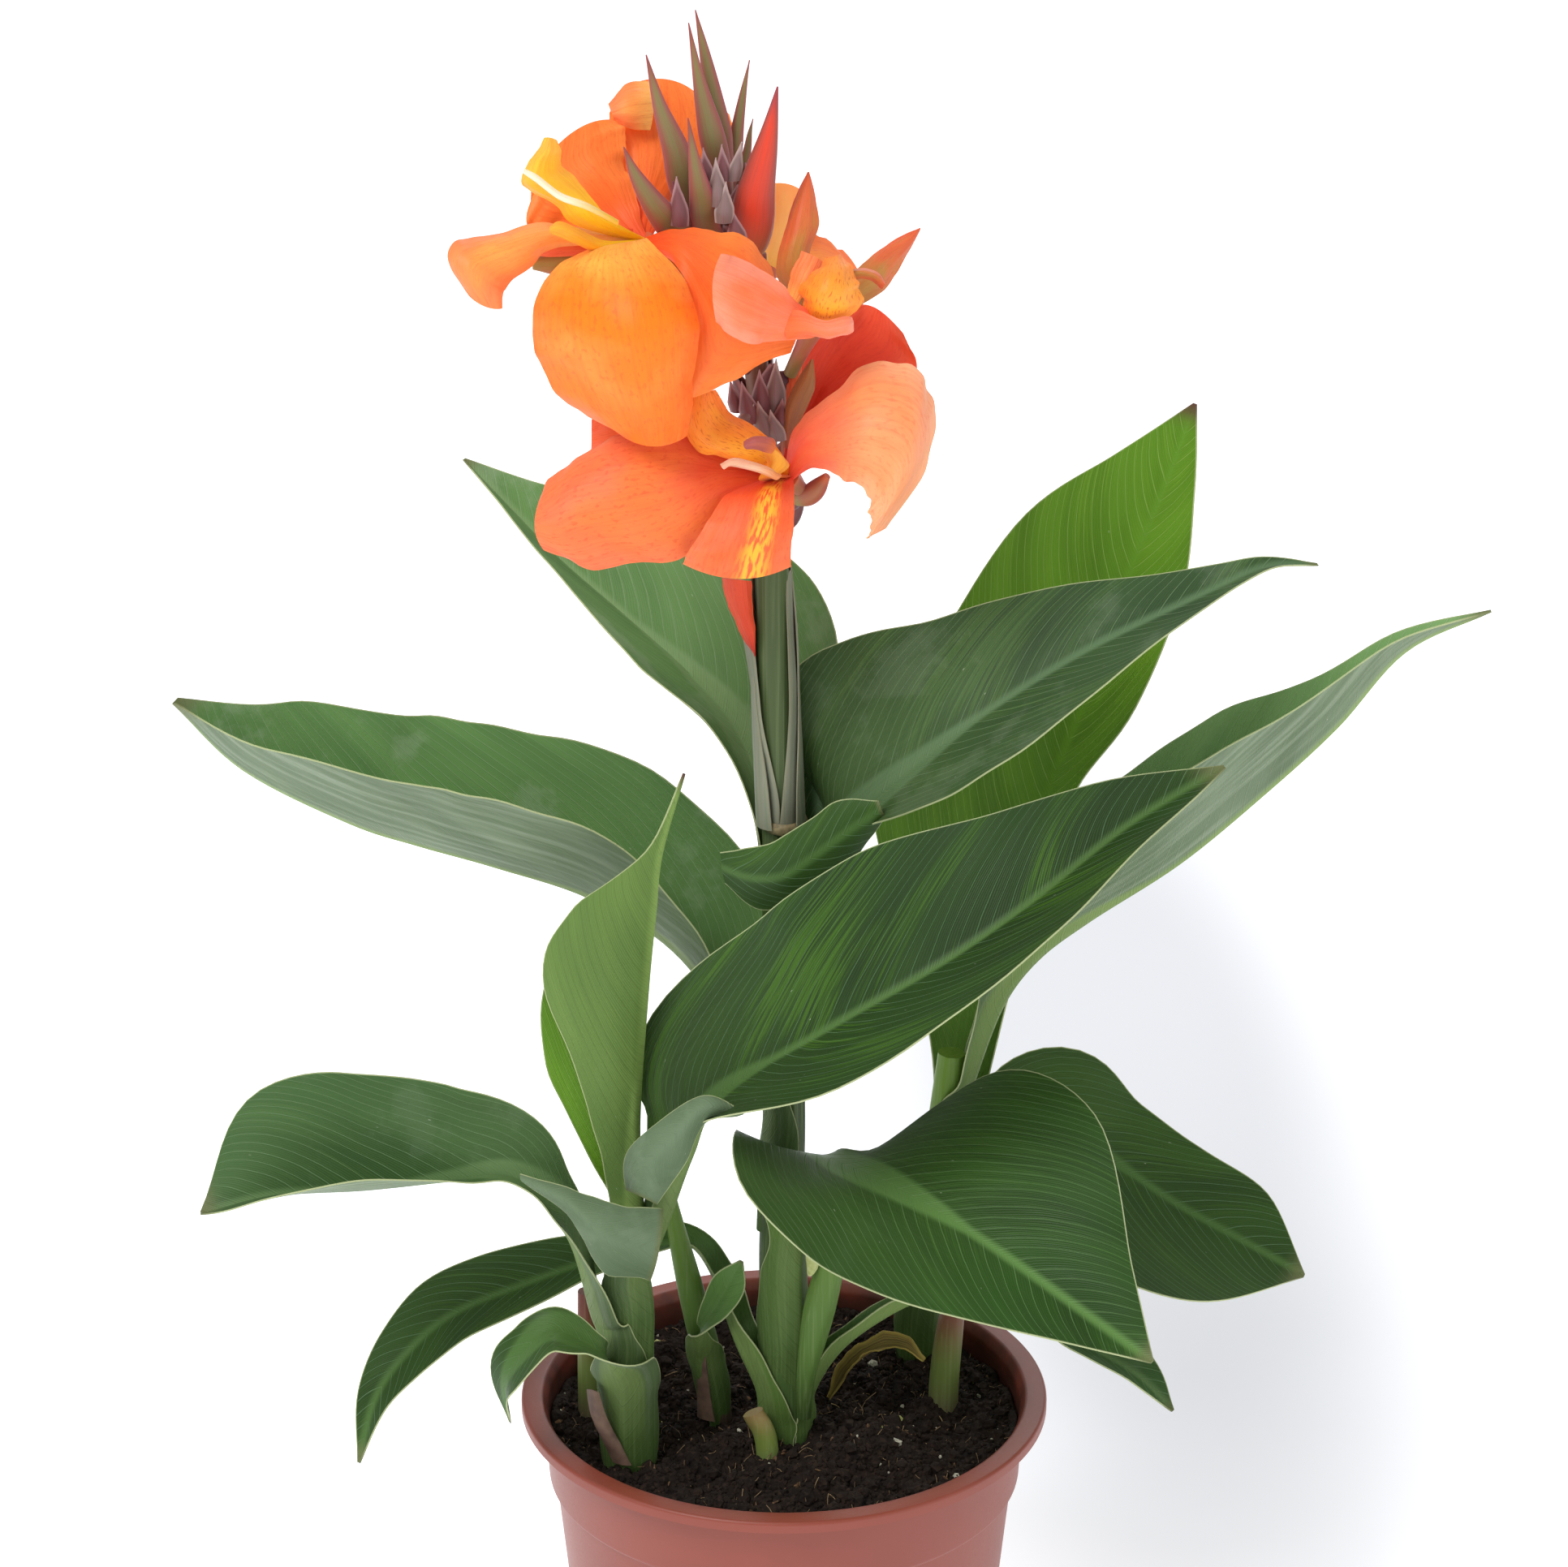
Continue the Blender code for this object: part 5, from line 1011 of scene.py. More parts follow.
sheath_finish = dry_finish("papery_flower_sheath", "76826A", "8E8A7A", "8A8A72")
scar_finish = flat_finish("sheath_scar", "6E6444", "93845E", 2.0, 0.6)
withered_finish = dry_finish("withered_leaf_skin", "8E7E3C", "5C4426", "A08C40", roughness=0.75)
red_petal = petal_finish("red_petal_skin", "C22A14", "E0421F", "E8532C", "B01E10", "B01E10", 0.2)

sheath = blade_grid([clasp(MAIN_STEM, height, 100, off=off)[0] for height, off in
                     ((372, 0.3), (392, 0.5), (415, 0.8), (440, 1), (462, 1.4))],
                    (21, 19.5, 16.5, 13, 7), (21, 19.5, 16.5, 14.5, 11), ((0,), (0,)),
                    ((150, 140, 120, 100, 60), (150, 140, 120, 110, 100)), ((0.17, -1, 0),), 12, 16,
                    (0.3, 3, 0))
left_strand = net((((-7.5, -9, 372), (-5, -15.5, 373.5), (-1.5, -17.5, 373.5)),
                   ((-8, -9, 384.5), (-5.5, -15.5, 385.5), (-2, -17.5, 384.5)),
                   ((-10, -9, 406.5), (-9, -15, 408.5), (-7, -17, 408.5)),
                   ((-12, -9, 425.5), (-10.5, -14, 425), (-8.5, -16, 422)),
                   ((-14, -9, 439), (-12.5, -12, 438.5), (-10.5, -14, 438)),
                   ((-14.5, -9, 444), (-14, -10, 444.5), (-13.5, -11, 444.5))), sheath_finish, (0.1, 2, 0),
                  "strand", False)
right_strand = net((((7, -8, 372.5), (3.5, -15, 373.5), (-1.5, -18, 374)),
                    ((6.5, -8, 384), (3.5, -15, 385.5), (-0.5, -17.5, 384.5)),
                    ((5, -8, 408.5), (3.5, -14, 410.5), (1.5, -16.5, 410)),
                    ((4, -8, 425), (3.5, -13, 426.5), (1.5, -16, 427)),
                    ((3.5, -8, 438.5), (2.5, -12, 439.5), (1, -15, 440.5)),
                    ((2.5, -8, 456), (2, -11, 456.5), (0.5, -13, 457.5)),
                    ((2.5, -8, 460.5), (2, -9, 461), (1.5, -10, 461))), sheath_finish, (0.1, 2, 0),
                   "strand", False)
scar = net([((x, y, 370.5), (x * 1.06, y - 0.8, 372.2), (x, y, 374))
            for x, y in ((-7.6, -9), (-4.5, -16), (0, -18.6), (4.2, -16), (7.2, -9))], scar_finish,
           (0, 2, 0), "scar")
wrap = sheet("flower_sheath_wrap", sheath, 0.5, (sheath_finish,))
dress(joined("flower_sheath_wrap", [wrap, left_strand, right_strand, scar]), ["flower_sheath"])
dress(net((((-10, -15, 433.5), (-9.7, -15.5, 433), (-9.5, -15, 433)),
           ((-14, -13, 439), (-11.5, -16, 440), (-9.5, -16, 438.5)),
           ((-18, -12, 448), (-14, -16.5, 449), (-10, -15.5, 447.5)),
           ((-21, -12, 459), (-15.5, -17, 460), (-11, -15, 459))), red_petal, (0.3, 2, 0),
          "wedged_red_petal"),
      ["wedged_petal"])
withered = blade_grid(((16.5, 8, 141.2), (24, 8, 154), (33, 7, 162), (43, 4, 164.5), (50.5, -1, 161.5)),
                      (1, 4, 5, 4, 1), (1, 4, 5, 4, 1), ((30,), (30,)), ((30,), (30,)), ((0, -0.4, 1),),
                      NET_STEPS, NET_RIBS, (0.9, 2, 0.2))
dress(sheet("withered_leaf_strip", withered, PETAL_THICKNESS, (withered_finish,), fan=True),
      ["withered_leaf"])

# Flower spike
# The upright axis of the flower head, with its pointed buds at the top, cupped purple-grey bracts all
# round it and the ovaries that carry the open blooms.

SPIKE_LINE = ((-4, -10, 463.6), (-6, -10, 500), (-10, -10, 540), (-15, -10, 572), (-20, -10, 600))
BRACTS = 26


def bud_finish(name, face, side, foot, tip):
    """A waxy bud: its face, its magenta sides, its foot and its tip have their own colours."""
    material, tree, shader = new_finish(name, {"Roughness": 0.48, "Subsurface Weight": 0.1,
                                               "Subsurface Scale": 0.002, "Sheen Weight": 0.2})
    drawn, _, zone = blade_maps(tree)
    threads = clouded(tree, drawn, (0.06, 1.6, 1), 3)
    stray = reckoned(tree, "MULTIPLY_ADD", threads, 1.1, -0.55)
    flank = reckoned(tree, "ADD", zone["Red"], stray, clamp=True)
    skin = mixed(tree, flank, face, side)
    low = ramped(tree, zone["Green"], 0.05, 0.45, 0.85, 0.0, soft=True)
    footed = mixed(tree, low, skin, foot)
    high = ramped(tree, zone["Green"], 0.8, 1.0, 0.0, 0.8, soft=True)
    tipped = mixed(tree, high, footed, tip)
    tree.links.new(tipped, shader.inputs["Base Color"])
    bumped(tree, shader, threads, 0.3, 0.0003)
    return material


def spindle(name, line, radii, flatness, facing, look, sides=28, rings=26):
    """A bud, ovary or tube: rings round a curved line, flattened towards the way it faces. The zones colour
    holds the share of side and the share of the way up."""
    rows = smooth(np.column_stack([np.array(line, float), spread(radii, len(line))]), rings)
    girth = smooth(np.array(radii, float)[:, None], rings)[:, 0]
    place = rows[:, :3]
    along = unit(np.gradient(place, axis=0))
    face = np.array(facing, float)
    up = unit(face - (along @ face)[:, None] * along)
    out = np.cross(along, up)
    turns = np.arange(sides) * math.tau / sides
    ring = np.cos(turns)[:, None, None] * out + flatness * np.sin(turns)[:, None, None] * up
    points = np.concatenate([place[i] + max(girth[i], 0.2) * ring[:, i] for i in range(rings)]) * MM
    faces = [tuple(range(sides)), tuple(range(len(points) - 1, len(points) - sides - 1, -1))]
    for i in range(rings - 1):
        for j in range(sides):
            a, b = i * sides + j, i * sides + (j + 1) % sides
            faces.append((a, a + sides, b + sides, b))
    mesh = bpy.data.meshes.new(name)
    mesh.from_pydata(points.tolist(), [], faces)
    mesh.materials.append(look)
    travelled = np.concatenate([[0], np.cumsum(np.linalg.norm(np.diff(place, axis=0), axis=1))])
    drawn = np.stack(np.broadcast_arrays(travelled[:, None], np.abs(turns - math.pi)[None] * max(radii)),
                     axis=-1)
    zones = np.ones((rings, sides, 4))
    zones[..., 0] = np.abs(np.cos(turns))[None] ** 1.6
    zones[..., 1] = np.linspace(0, 1, rings)[:, None]
    return mapped(name, mesh, drawn.reshape(-1, 2), zones)


olive_bud = bud_finish("olive_bud_skin", "7C7240", "9A3440", "8A5246", "8E2C38")
purple_bud = bud_finish("purple_bud_skin", "6A4A48", "8A3A50", "6A5048", "7A3048")
orange_bud = bud_finish("orange_bud_skin", "D83A16", "8E3A30", "A0743E", "7E2C3C")
bract_finish = bud_finish("cupped_bract_skin", "75605A", "6C3E4C", "7E7864", "5C3040")
cup_finish = dry_finish("cupped_bract_membrane", "6E4C48", "7E3F4C", "B08A8C", roughness=0.5)
grey_cup_finish = dry_finish("greyish_bract_membrane", "7E7466", "86606A", "BCA6A0", roughness=0.5)
axis_finish = stalk_finish("spike_axis_skin", "6E7A4C", "7A5C4C", "8A6450", (464, 500, 580))

pieces = [grown(centre_line("line_axis", smooth([(*place, radius) for place, radius in
                                                 zip(SPIKE_LINE, (5.2, 4.4, 3.8, 3, 1.6))], 40)), shooting,
                "axis", {"Sides": 40, "Ribs": 5.0, "Rib depth": 0.04, "Finish": axis_finish})]
buds = (((-18, -10, 585), (-20, -11, 600), (-21, -12, 611), (-25, -13, 632), (-28, -12, 646), 4, olive_bud),
        ((-18, -11, 582), (-21, -15, 598), (-24, -18, 612), (-27, -20, 626), (-30, -19, 643), 4.2, olive_bud),
        ((-17, -11, 574), (-30, -20, 588), (-34, -27, 604), (-39, -31, 619), (-43, -32, 635), 5, olive_bud),
        ((-16, -11, 566), (-24, -22, 577), (-26, -31, 590), (-28, -35, 602), (-30, -36, 616), 4.5, olive_bud),
        ((-15, -11, 563), (-11, -18, 575), (-9, -24, 590), (-5, -26, 608), (-2, -25, 624), 7, orange_bud),
        ((-17, -9, 588), (-16, -9, 598), (-15, -7, 607), (-13, -5, 619), (-11, -4, 629), 2.4, olive_bud),
        ((-16, -9, 584), (-14, -4, 592), (-12, -2, 599), (-11, 1, 605), (-10, 3, 609), 1.6, olive_bud),
        ((-16, -11, 566), (-32, -24, 577), (-39, -35, 586), (-46, -40, 598), (-50, -42, 608), 5, olive_bud),
        ((-15, -11, 563), (-28, -18, 575), (-31, -26, 582), (-34, -29, 588), (-35, -30, 595), 3.4,
         purple_bud))
for *line, width, look in buds:
    pieces.append(spindle("bud", line, [width * share for share in (0.45, 0.9, 1.0, 0.72, 0.36, 0.04)], 0.55,
                          (0, -1, 0.2), look))
ovaries = (((-8, -10, 524), (-2, -14, 526), (1.4, -17.4, 529), 3.4),
           ((-5, -10, 482), (1, -15, 486), (5.4, -19.4, 489.4), 3.4),
           ((-10, -10, 538), (-11, -4, 540), (-10.3, -0.8, 540.2), 3),
           ((-13, -10, 554), (-20, -15, 556), (-26.3, -19.6, 559.3), 3))
for *line, width in ovaries:
    pieces.append(spindle("ovary", line, [width * share for share in (0.8, 1, 1, 0.6)], 1, (0, -1, 0.1),
                          bract_finish))
for index in range(BRACTS):
    share = index / (BRACTS - 1)
    turn = index * 2.4
    x, y, z = [np.interp(474 + 112 * share, [p[2] for p in SPIKE_LINE],
                         column) for column in zip(*SPIKE_LINE)]
    out = np.array([math.cos(turn), math.sin(turn), 0])
    base = np.array([x, y, z]) + 1.5 * out
    reach = 9 - 3 * share
    cup = blade_grid((base, base + reach * 0.7 * out + (0, 0, 2.5), base + reach * out + (0, 0, 8),
                      base + reach * 1.05 * out + (0, 0, 14.5)), (3, 6, 5.4, 0.6), (3, 6, 5.4, 0.6),
                     ((20,), (20,)), ((80,), (80,)), (tuple(-out + (0, 0, 0.3)),), 4, 6, (0.3, 2, turn))
    pieces.append(sheet("bract", cup, 0.5, (cup_finish,), fan=True))
for base, tip, half, look in (((-32.9, -34, 581.6), (-33.8, -35, 596.3), 4, cup_finish),
                              ((-20.7, -30, 587), (-21.5, -31, 601.5), 4, grey_cup_finish),
                              ((-14.5, -30, 575), (-16, -31, 585), 4, cup_finish),
                              ((-19, -31, 582), (-18.4, -32, 594.3), 4, grey_cup_finish),
                              ((-16.2, -24, 594), (-13.6, -25, 605.7), 3, grey_cup_finish),
                              ((-24, -26, 594), (-25.5, -27, 604.3), 3, cup_finish),
                              ((-19, -24, 594), (-19.7, -25, 605), 3, cup_finish),
                              ((-15.2, -24, 518.7), (-17.3, -25, 529), 3, cup_finish),
                              ((-10, -26, 515.8), (-13.5, -27, 528.6), 4.4, cup_finish),
                              ((-7.2, -23, 517.4), (-7.9, -24, 531.7), 4.6, cup_finish),
                              ((-2.9, -22, 519), (-2.6, -23, 534.8), 4.4, grey_cup_finish),
                              ((-5.3, -27, 511), (-8.3, -28, 522.4), 4.6, grey_cup_finish),
                              ((-1, -25, 514), (-0.6, -26, 523), 4, cup_finish),
                              ((-2, -28, 510.4), (-4.3, -29, 520), 4, grey_cup_finish),
                              ((-12.8, -27, 516.5), (-10, -28, 522), 3.4, grey_cup_finish)):
    low, high = np.array(base), np.array(tip)
    across = np.array([0.8 * half, 0, 0])
    rows = [(low - 0.9 * across, low + (0, -0.6 * half, 0), low + 0.9 * across)]
    for share, width in ((0.3, 1), (0.6, 0.66), (0.85, 0.3), (1.08, 0.03)):
        middle = low + share * (high - low)
        rows.append((middle - width * across, middle + (0, -0.7 * width * half, 0), middle + width * across))
    pieces.append(net(rows, look, (0.15, 2, share), "scale"))
dress(joined("flower_spike_axis", pieces), ["flower_spike"])

# Blooms
# Four open blooms of thin, soft petals and petal-like stamens, orange to coral with yellow patches and fine
# red flecks, each in the mouth of a short tube that stands on its ovary.

# The pale yellow heart of the orange petals is partly their own yellow throat and partly a painted glow of
# light shining through them.
orange_petal = petal_finish("orange_petal_skin", "FFC656", "FF7C08", "FF7020", "F25E16", "EA541A", 0.4)
apricot_petal = petal_finish("apricot_petal_skin", "FFB45C", "FFA04A", "FF7E48", "F47440", "EE5E30", 0.25)
flame_petal = petal_finish("flame_petal_skin", "F2501C", "FC762A", "FF8A3C", "EA541C", "E44A1C", 0.25)
coral_petal = petal_finish("coral_petal_skin", "E4441E", "F87A3A", "FC7A4C", "E85634", "DC4022", 0.4)
pale_coral_petal = petal_finish("pale_coral_petal_skin", "F05236", "FF965E", "FFB282", "F26C48", "EE5A3A",
                                0.3)
rosy_petal = petal_finish("rosy_petal_skin", "FF6C34", "FF7640", "FF9474", "F0603C", "F07048", 0.2)
yellow_petal = petal_finish("yellow_petal_skin", "FFD21E", "FFC42A", "FFAC3C", "FFA21E", "F8942A", 0.2)
pale_yellow_petal = petal_finish("pale_yellow_petal_skin", "FFC45A", "FFC06C", "FFA058", "FFA850", "F89A4A",
                                 0.2)
flecked_petal = petal_finish("flecked_yellow_petal_skin", "FFA41C", "FFAE2C", "FF8A34", "EE8A24", "D8601E",
                             0.85)
patched_petal = petal_finish("patched_petal_skin", "E23C1E", "F4622C", "FA7646", "E44E26", "DC4022", 0.35,
                             1.0)
striped_petal = petal_finish("striped_petal_skin", "9C6A30", "B88A3C", "E8603A", "8E7A30", "A8582C", 0.3)
mauve_petal = petal_finish("mauve_sepal_skin", "B8543C", "96664A", "A8723C", "7E5040", "8A5A44", 0.2)
deep_petal = petal_finish("deep_red_petal_skin", "C02C18", "DE4022", "EE5A34", "C82E18", "B42412", 0.2)
tube_finish = bud_finish("bloom_tube_skin", "A5643A", "B0483A", "8E8244", "D0602C")
sepal_finish = bud_finish("olive_sepal_skin", "A8954A", "B8683C", "A88A44", "A0843C")
style_finish = petal_finish("style_skin", "FFD23A", "FFE9B4", "FFF0D8", "FFD890", "F0A070", 0.1)
stigma_finish = petal_finish("stigma_skin", "D8703A", "C0603E", "A2504C", "8A3A40", "8A3840", 0.2)
curl_finish = petal_finish("dry_curl_skin", "F09A5C", "F2C8A2", "E8B090", "D89070", "C87850", 0.2)
filament_finish = petal_finish("filament_skin", "C8641E", "EE9A24", "F4A43A", "D87A1E", "C8641E", 0.2)


def from_mouth(mouth, rows):
    """The rows of a petal after one more, where its narrow base stands in the mouth of the tube."""
    left, middle, right = np.array(rows[0], float)
    centre = np.array(mouth) + unit(middle - mouth)
    half = 2.4 * unit(right - left)
    return [(centre - half, centre, centre + half), *rows]


def bloom(name, tube, mouth, petals, extras=()):
    """An open bloom: its petals and petal-like stamens stand in the mouth of a short tube."""
    parts = [spindle("tube", (*tube, mouth), (2.2, 2.6, 3.4, 4), 1, (0, -1, 0.1), tube_finish)]
    parts += [net(from_mouth(mouth, rows), look, frill) for rows, look, frill in petals]
    return dress(joined(name + "_flower", parts + list(extras)), [name])


def loose(rows, look, name):
    """A style, stigma or curl of a petal that stands free of the tube's mouth."""
    return net(rows, look, (0.15, 2, 0), name)


bloom("bloom_upper_left", ((-27, -20, 560), (-36, -24, 568)), (-45, -28, 575), (
    ((((-64, -38, 574), (-53, -46, 577), (-42, -44, 578)),
      ((-75, -46, 566), (-52, -66, 571), (-31, -60, 570)),
      ((-79, -50, 550), (-50, -76, 557), (-27, -66, 557)),
      ((-76, -52, 540), (-47, -74, 541), (-28, -67, 544)),
      ((-68, -52, 529), (-44, -70, 528), (-29, -65, 533)),
      ((-55, -54, 521), (-42, -64, 518), (-31, -62, 521))),
     orange_petal, (1.0, 2.5, 0.1)),
    ((((-33, -40, 582), (-33, -50, 578), (-32, -56, 572)),
      ((-21, -40, 582), (-23, -56, 570), (-28, -60, 554)),
      ((-9, -38, 575), (-14, -56, 559), (-30, -60, 533)), ((-1, -34, 562), (-5, -46, 551), (-16, -52, 537)),
      ((4, -30, 550), (4, -36, 546), (2, -42, 543))), flame_petal, (0.8, 2, 0.4)),
    ((((-68, -34, 581), (-66, -38, 579), (-65, -36, 576)),
      ((-77, -38, 583), (-75, -44, 580), (-75, -40, 575)),
      ((-88, -42, 581), (-84, -50, 578), (-80, -46, 571)),
      ((-97, -46, 580), (-92, -54, 576), (-85, -50, 568)),
      ((-103, -50, 579), (-97, -58, 574), (-87, -54, 566)),
      ((-104, -54, 573), (-97, -59, 569), (-88, -56, 564)),
      ((-98, -57, 564), (-93, -58, 561), (-88, -57, 560))),
     apricot_petal, (0.6, 2, 0.6)),
    ((((-66, -38, 583), (-61, -42, 585), (-55, -38, 585)),
      ((-72, -42, 590), (-67, -46, 593), (-62, -42, 594)),
      ((-81, -48, 596), (-75, -52, 599), (-67, -46, 601)),
      ((-80, -52, 603), (-75, -55, 605), (-69, -50, 604)),
      ((-77, -54, 608), (-73, -56, 609), (-69, -53, 608)),
      ((-74, -54, 613), (-72, -54, 613), (-70, -53, 612))),
     yellow_petal, (0.4, 2, 0.2)),
    ((((-62, -22, 577), (-54, -20, 583), (-47, -18, 585)),
      ((-76, -22, 578), (-62, -18, 592), (-50, -12, 596)),
      ((-82, -24, 581), (-69, -16, 597), (-51, -8, 605)), ((-80, -19, 594), (-68, -12, 607), (-54, -6, 611))),
     flame_petal, (1.2, 2, 0.3)),
    ((((-49, -14, 585), (-42, -12, 587), (-35, -8, 585)), ((-53, -8, 597), (-38, -4, 599), (-22, 2, 594)),
      ((-56, -2, 610), (-37, 2, 611), (-16, 8, 603)), ((-51, 4, 619), (-38, 8, 621), (-25, 12, 614))),
     flame_petal, (1.2, 2.5, 0.8)),
), (
    loose((((-52, -46, 585.5), (-52, -47, 585), (-52, -46, 584.5)),
           ((-61, -57, 593), (-61, -58, 592.3), (-61, -57, 591.6)),
           ((-69, -61, 597), (-69, -62, 596.2), (-69, -61, 595.4)),
           ((-76, -62, 602.6), (-76, -63, 601.8), (-76, -62, 601)),
           ((-80, -61, 604.4), (-80, -62, 604), (-80, -61, 603.6))), style_finish, "style"),
    net((((-47, -30, 576), (-46, -31, 574.5), (-46, -30, 573)),
         ((-57, -38, 577.5), (-57, -40, 575.5), (-57, -38, 573.5)),
         ((-65, -46, 583), (-65, -48, 581), (-65, -46, 578.5)),
         ((-70, -50, 586), (-70, -51, 584), (-70, -50, 581.5)),
         ((-73, -52, 585), (-73, -52, 584), (-73, -52, 583))), yellow_petal, (0.3, 2, 0.1), "petaloid"),
    net((((-43, 2, 621), (-42, -4, 615), (-43, -6, 607)), ((-50, -2, 621), (-49, -9, 615), (-49, -8, 608)),
         ((-56, -6, 615), (-55, -9, 613), (-54, -8, 611))), apricot_petal, (0.3, 2, 0), "flap"),
    net((((-48, -27, 579), (-48, -29, 575), (-48, -28, 571)),
         ((-62, -29, 580), (-62, -31, 576), (-62, -30, 571.5)),
         ((-74, -31, 579), (-75, -33, 575.5), (-75, -32, 571.5)),
         ((-82, -33, 577), (-83, -34, 575), (-82, -33, 573))),
        coral_petal, (0.2, 2, 0), "lobe"),
    spindle("sepal", ((-47, -27, 574), (-59, -27, 570.5), (-69, -28.5, 569), (-80, -31, 568.5)),
            (2.4, 3.6, 4.6, 4.2, 1.6), 0.6, (0, -1, 0.2), sepal_finish),
))
bloom("bloom_right", ((2, -18, 530), (7, -25, 542)), (11, -30, 551), (
    ((((12, -44, 554), (10, -48, 552), (9, -47, 549)), ((3, -50, 561), (0, -58, 557), (-2, -57, 550)),
      ((-4, -56, 570), (-8, -67, 562), (-10, -65, 551)), ((-14, -62, 577), (-16, -72, 567), (-17, -69, 555)),
      ((-20, -66, 579), (-22, -73, 571), (-21, -71, 559))), rosy_petal, (1.2, 2, 0.1)),
    ((((6, -42, 555), (12, -48, 554), (21, -42, 555)), ((5, -46, 562), (13, -56, 562), (25, -46, 563)),
      ((9, -46, 569), (15, -54, 569), (22, -44, 568)), ((13, -42, 573), (16, -44, 574), (18, -40, 574))),
     flecked_petal, (0.8, 2, 0.3)),
    ((((-2, -24, 563), (3, -28, 566), (8, -24, 568)), ((0, -20, 577), (5, -24, 579), (11, -20, 579)),
      ((4, -16, 588), (7, -19, 589), (10, -16, 588)), ((7.5, -14, 595), (7.8, -14, 595), (8, -14, 595))),
     striped_petal, (0.2, 2, 0)),
    ((((24, -24, 566), (27, -28, 563), (30, -24, 557)), ((31, -18, 571), (33, -21, 568), (36, -18, 563)),
      ((38, -12, 574), (40, -14, 572), (41, -12, 570)), ((44, -9, 576), (44, -9, 575.7), (44, -9, 575.4))),
     striped_petal, (0.2, 2, 0)),
), (
    net((((-1.5, -55, 560), (-0.5, -58, 555), (1, -56, 550)),
         ((5.5, -54, 558.5), (6.5, -58, 554.5), (7.5, -55, 551)),
         ((12, -54, 556), (12.5, -58, 553), (13.5, -54, 550)),
         ((20, -50, 556), (20, -54, 553.5), (20, -50, 550)),
         ((22, -46, 554), (22, -48, 553), (22, -46, 550.5))), rosy_petal, (0.4, 2, 0), "ledge"),
    loose((((20, -40, 567), (19, -42, 566), (20, -40, 564)),
           ((22, -38, 568.5), (21, -42, 568), (22, -38, 565)),
           ((26, -36, 568.5), (26, -41, 568), (26, -36, 565)),
           ((30, -34, 566.5), (30, -39, 566), (29, -34, 563)),
           ((32, -33, 563.5), (32, -36, 563), (31, -33, 561))), striped_petal, "curl"),
    net((((0.5, -40, 559), (2, -42, 558.5), (4, -42, 557.5)),
         ((2, -38, 566.5), (5.5, -42, 566), (9, -42, 565.5)),
         ((5.5, -36, 574), (9, -38, 573), (12.5, -38, 571))), apricot_petal, (0.3, 2, 0.3), "wall"),
))
